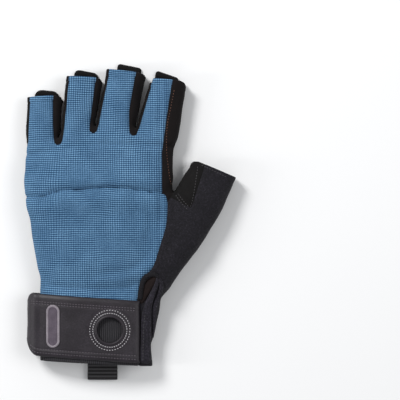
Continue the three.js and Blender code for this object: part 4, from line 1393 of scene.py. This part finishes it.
def strip(path, width, wall, rib, pitch, round_edge=0.5):
    """A flat strip along a side view path of (y, z), with woven ribs across it."""
    path = even(path, 0.28)
    out = right_of(path)
    across = np.linspace(-1, 1, 25)
    taper = 0.55 + 0.45 * np.sqrt(np.clip((1 - np.abs(across)) * width / 2 / round_edge, 0, 1))
    ridge = np.sqrt(np.abs(np.cos(math.pi * path[:, :1] / pitch)))
    swell = wall / 2 * taper * (1 - rib + rib * ridge)
    x = across * (width / 2 - 0.12 * (1 - ridge))
    upper, lower = (np.stack([x, path[:, :1] + out[:, :1] * high, path[:, 1:] + out[:, 1:] * high], -1)
                    for high in (swell, -swell))
    points = np.concatenate([upper, lower[:, ::-1]], axis=1).reshape(-1, 3)
    return points, outward(points, ring_faces(len(path), 2 * len(across)))


def loop_path(reach, wall, space, tail):
    middle = wall + space / 2
    radius = (wall + space) / 2
    end = -reach + middle
    angle = np.radians(np.linspace(270, 90, 13))
    return [(tail, wall / 2)] + [(end + radius * math.cos(a), middle + radius * math.sin(a)) for a in angle] \
        + [(-SEAM_GAP, middle + radius)]


def outward(points, faces):
    """The faces, turned so that the closed mesh encloses a positive volume."""
    volume = 0.0
    for face in faces:
        a = points[face[0]]
        for i in range(1, len(face) - 1):
            volume += float(np.dot(a, np.cross(points[face[i]], points[face[i + 1]])))
    return faces if volume > 0 else [tuple(reversed(face)) for face in faces]


path = loop_path(WEB_REACH, PAD, WEB_SPACE, BAND_TOP - BAND_HEM)
points, faces = strip(path, WEB_WIDTH, PAD, 0.7, RIB_PITCH)
piece("webbing_loop", points + (WEB_MIDDLE, BAND_HEM, 0), faces, "webbing", "pull_loop")
path = loop_path(TAPE_REACH, TAPE_WALL, TAPE_SPACE, -SEAM_GAP)
clear = TAPE_WIDTH / 2 * math.sin(math.radians(TAPE_TURN))
for name, side in (("little", -1), ("thumb", 1)):
    points, faces = strip(path, TAPE_WIDTH, TAPE_WALL, 0.25, TAPE_PITCH)
    place = (WEB_MIDDLE + side * TAPE_OFFSET, BAND_HEM - clear)
    points = np.c_[turned(points, math.radians(-side * TAPE_TURN), place), points[:, 2] + PALM_LIFT]
    piece(f"tape_loop_{name}", points, faces, "tape", f"hang_loop_{name}_side")


# Pads and tabs

def slab(outline, step, top, bottom):
    """A low solid over a plan outline; top and bottom are heights from the place and its edge distance."""
    outline = np.asarray(outline, float)
    flat, faces = flat_sheet(outline.min(axis=0) - step, outline.max(axis=0) + 2 * step, step,
                             lambda grid: inside(grid, outline))
    edge = np.maximum(inside(flat, outline), 0)
    upper, lower = (np.c_[flat[:, :2], height(flat, edge)] for height in (top, bottom))
    return closed_skin(upper, lower, faces)


# What the rows of stitches on the palm side lie on, and their lines round the pads and tabs
UNDER, UNDER_LINES = list(OUTER), []


def inset(outline, by):
    """A closed outline moved inwards, with its first point again at the end."""
    way = unit(np.roll(outline, -1, axis=0) - np.roll(outline, 1, axis=0))
    way = np.stack([-way[:, 1], way[:, 0]], 1)
    moved = outline + way * by
    if inside(moved[:1], outline)[0] < 0:
        moved = outline - way * by
    return np.vstack([moved, moved[:1]])


def pad(name, outline, node, quilt):
    outline = even(curve(outline, True), 0.8, True)

    def top(flat, edge):
        return PAD - 0.35 * (1 - smooth(0, 1.0, edge))

    def bottom(flat, edge):
        swell = 0.1 + 0.4 * (1 - smooth(0, 1.3, edge)) + 0.4 * bump(edge - 1.7, 0.6)
        return np.maximum(0.0, swell + quilt(flat) - 0.1)

    points, faces = slab(outline, 0.9, top, bottom)
    UNDER.append((points, faces))
    made = piece(name, points, faces, "palm_suede", node)
    UNDER_LINES.append(inset(outline, 1.7))


def quilt_lines(lines, depth=0.6, width=1.0):
    def quilt(flat):
        out = np.zeros(len(flat))
        for line in lines:
            out = np.maximum(out, depth * bump(line_distance(flat, curve(line))[0], width))
        return out
    return quilt


HEEL_QUILT = [[(222, 191), (260, 188.5), (297, 191)], [(222, 231), (245, 228.5), (268, 231)]]
pad("pad_upper", [palm_point(r) for r in UPPER_PAD], "palm_pad_upper", quilt_lines([]))
pad("pad_index", [palm_point(r) for r in INDEX_PAD], "palm_pad_index", quilt_lines([]))
pad("pad_heel", [hand_point(r) for r in HEEL_PAD], "palm_pad_heel",
    quilt_lines([[right_palm(*p) for p in line] for line in HEEL_QUILT]))


def tab(finger):
    x0, y0, _, half_tip, _ = (float(v) for v in finger_at(finger, 1))
    x1, y1 = finger_at(finger, 0)[:2]
    lean = math.atan2(x0 - x1, y0 - y1)
    middle = (x0 + 2 * half_tip * finger["tab_at"], y0)
    half = half_tip * finger["tab_width"]
    rounding = 2 * half * finger["tab_round"]
    corners = [(cx + rounding * math.cos(a), TAB_REACH - rounding + rounding * math.sin(a))
               for cx, start in ((half - rounding, 0), (rounding - half, 90))
               for a in np.radians(np.linspace(start, start + 90, 9))]
    corners += [(-half, -TAB_SEAT), (half, -TAB_SEAT)]
    slanted = [(x, y + finger["tab_slant"] * x if y > 0 else y) for x, y in corners]

    def top(flat, edge):
        nose = smooth(0.3, 2.2, (flat[:, :2] - (x0, y0)) @ (math.sin(lean), math.cos(lean)))
        return PAD + 1.3 * nose - (0.35 + 0.75 * nose) * (1 - smooth(0, 1.4, edge)) \
            - 0.22 * nose * bump(edge - 2.0, 0.4) + 0.1 * waves(flat, 5, 31) * nose

    def bottom(flat, edge):
        return 0.35 * (1 - smooth(0, 0.9, edge))

    points, faces = slab(even(turned(slanted, lean, middle), 0.5, True), 0.45, top, bottom)
    UNDER.append((points, faces))
    name = finger["name"]
    piece(f"tab_{name}", points, faces, "palm_suede", f"finger_tab_{name}")
    side, seat = half - 1.1, 1.0 - TAB_SEAT
    UNDER_LINES.append(turned([(-side, 3.2), (-side, seat), (side, seat), (side, 3.2)], lean, middle))


for finger in FINGERS:
    tab(finger)


# Rows of stitches on the cloth

UNDER_TREE = tree_of(*UNDER)
PALM_LINES = [[right_palm(*p) for p in line] for line in (
    [(207, 151.5), (222, 151.5), (222, 174), (207, 174), (207, 151.5)],
    [(202, 148.6), (240, 144.2), (284, 140)],
    [(324.5, 162.5), (312, 165.5), (304, 170)], *HEEL_QUILT,
)]
half = CUFF_HALF * 0.93
PALM_LINES += [[(CUFF_MIDDLE - half, y), (CUFF_MIDDLE + half, y)]
               for y in (BAND_TOP - 1.7, BAND_TOP + 1.9, BAND_HEM + 2.2, BAND_HEM + 4.4)]
stitched("stitches_palm", [stitch_row(*dropped(even(line, LINE_STEP), UNDER_TREE, False), 2.2, 1.5, 0.45, 0.2)
                           for line in UNDER_LINES + PALM_LINES], "thread_dark", "palm_suede")
# The webbing's box of stitches with its cross, in corners of -1 and 1 round the box's middle
BOX = [(-1, -1), (-1, 1), (1, 1), (-1, -1), (1, -1), (-1, 1), (1, 1), (1, -1), (-1, -1)]
BOX_HALF, BOX_HIGH, BOX_UNDER_TOP = WEB_WIDTH / 2 - 1.6, 12, 14.5
places = even(np.multiply(BOX, (BOX_HALF, BOX_HIGH)) + (WEB_MIDDLE, BAND_TOP - BOX_UNDER_TOP), LINE_STEP)
places = np.c_[places, np.full(len(places), 0.1)]
downward = np.tile([0.0, 0.0, -1.0], (len(places), 1))
stitched("stitches_webbing", [stitch_row(places, downward, 2.1, 1.4, 0.5, 0.0)], "thread_dark", "webbing")
THUMB_STITCHES = [
    [(200.2, 164.6), (214, 171.2), (227.4, 177.6)],
    [(197.9, 165), (196.8, 174.8), (194.5, 189.7), (192.2, 201.2), (189.9, 208.1)],
    [(177.5, 193), (184, 201.5), (190, 208)],
    [(175.6, 195), (182, 203.5), (188, 210)],
]
stitched("stitches_thumb", [skin_stitches(curve([px(*p) for p in row]), 1.9, 1.3, 0.5, 0.1)
                            for row in THUMB_STITCHES], "thread_black", "palm_suede")


# The folded edge beside the strap

def roll_of(line, widths, heights, tree=SKIN_TREE, sides=16):
    """A soft roll of cloth along a line on the skin."""
    line = even(curve(np.c_[line, widths, heights]), 0.8)
    places, ways = dropped(line, tree)
    for _ in range(4):
        for row in (ways, places):
            row[1:-1] = (row[:-2] + row[2:] + 2 * row[1:-1]) / 4
    way = unit(ways)[:, None]
    side = np.cross(unit(np.gradient(places, axis=0)), way[:, 0])[:, None]
    k = np.arange(len(places))
    end = np.clip(np.minimum(k + 0.35, len(places) - k - 0.65) / 2.5, 0, 1)
    shrink = np.sqrt(np.maximum(0.05, 1 - (1 - end) ** 2))
    half, high = (line[:, 2:] / (2, 1) * shrink[:, None]).T
    angle = 2 * math.pi * np.arange(sides) / sides
    c, s = np.cos(angle), np.sin(angle)
    across = np.outer(half, np.sign(c) * np.abs(c) ** 0.8)
    up = 0.3 + np.where(s > 0, np.outer(high, np.abs(s) ** 0.8), -0.12 * np.abs(s) ** 0.6)
    points = (places[:, None] + side * across[..., None] + way * up[..., None]).reshape(-1, 3)
    return points, outward(points, ring_faces(len(places), sides))


FOLD = [(145.2, 362.9), (145.4, 345), (146, 325), (147.2, 310), (149.8, 300.5), (153.2, 292.5), (156.3, 286),
        (157.6, 280.5), (157.2, 276.5)]
FOLD_WIDE = [7.6, 7.6, 7.2, 6.2, 4.6, 3.5, 3.1, 2.7, 2.0]
FOLD_HIGH = [1.9, 2.0, 2.0, 2.0, 2.0, 1.9, 1.8, 1.5, 1.0]
ARCH = [(159.2, 279.5), (157, 275.3), (152.2, 273.6), (147.4, 275.4), (143.8, 280), (141.8, 286),
        (140.9, 293), (140.6, 299.5)]
ARCH_WIDE, ARCH_HIGH = [1.8, 2.4, 2.8, 3.0, 3.2, 3.2, 3.0, 2.6], [1.0, 1.4, 1.5, 1.5, 1.4, 1.3, 1.2, 0.9]
RIDGE = [(158.4, 276.5), (161.4, 281.5), (161, 288), (158.2, 296), (155, 304), (153.8, 313), (153.6, 324),
         (152.6, 338)]
RIDGE_WIDE, RIDGE_HIGH = [1.4, 2.4, 3.0, 3.2, 3.2, 3.0, 2.6, 1.6], [0.8, 1.3, 1.6, 1.6, 1.5, 1.3, 0.9, 0.4]
FOLD_ROW = [(143.2, 361), (143.4, 345), (144.2, 325), (145.6, 313)]
points, faces = roll_of([px(*p) for p in FOLD], FOLD_WIDE, FOLD_HIGH)
# The fold's roll and ridge use the lighter terry copy, a painted highlight on the raised cloth.
piece("cuff_edge_roll", points, faces, "fold_cloth", "cuff_edge_fold")
# The arch uses the darker terry copy, painted shade.
piece("cuff_edge_arch", *roll_of([px(*p) for p in ARCH], ARCH_WIDE, ARCH_HIGH), "arch_cloth")
piece("cuff_edge_ridge", *roll_of([px(*p) for p in RIDGE], RIDGE_WIDE, RIDGE_HIGH), "fold_cloth")
fans = [(face[0], face[i], face[i + 1]) for face in faces for i in range(1, len(face) - 1)]
places = dropped(even(curve([px(*p) for p in FOLD_ROW]), LINE_STEP), tree_of((points, np.array(fans))))
stitched("stitches_fold", [stitch_row(*places, 1.9, 1.3, 0.45, 0.1)], "thread_black", "thumb_terry")


# Floor, light and camera

floor_mesh = new_mesh("floor", [(-2, -2, 0), (2, -2, 0), (2, 2, 0), (-2, 2, 0)], [(0, 1, 2, 3)])
floor_paint = Paint("pale_floor", 0.9, 0.1)
floor_mesh.materials.append(floor_paint.finish((0.86, 0.86, 0.86, 1)))
floor = new_object("floor", floor_mesh)
floor.location.z = -0.0002



def lamp(name, place, aim, size, power, long=None):
    data = bpy.data.lights.new(name, "AREA")
    data.shape = "RECTANGLE" if long else "DISK"
    data.size = size
    data.size_y = long or size
    data.energy = power
    made = new_object(name, data)
    made.location = place
    made.rotation_euler = (Vector(aim) - Vector(place)).to_track_quat("-Z", "Y").to_euler()


lamp("key", (-0.65, 0.75, 0.95), (0, 0, 0), 0.45, 14)
lamp("fill", (0.9, 0.1, 1.0), (0, 0, 0), 0.8, 5)
lamp("edge", (-1.05, -0.1, 0.5), (-0.075, -0.1, 0.015), 0.14, 2.8, 0.45)
world = bpy.data.worlds.new("studio")
world.use_nodes = True
world.node_tree.nodes["Background"].inputs[0].default_value = (0.95, 0.97, 1, 1)
world.node_tree.nodes["Background"].inputs[1].default_value = 0.42
bpy.context.scene.world = world
bpy.context.scene.view_settings.view_transform = "Standard"

# The camera stands over the photograph's middle, so far away that one pixel is PIXEL wide
PHOTO_SIDE, SENSOR, LENS, LEVEL = 400, 36.0, 200.0, 0.01
camera_data = bpy.data.cameras.new("camera")
camera_data.lens = LENS
camera_data.clip_end = 20
camera = new_object("camera", camera_data)
x, y = np.add(px(PHOTO_SIDE / 2, PHOTO_SIDE / 2), OFFSET[:2]) / 1000
camera.location = (x, y, LEVEL + PHOTO_SIDE * PIXEL / 1000 / SENSOR * LENS)
bpy.context.scene.camera = camera
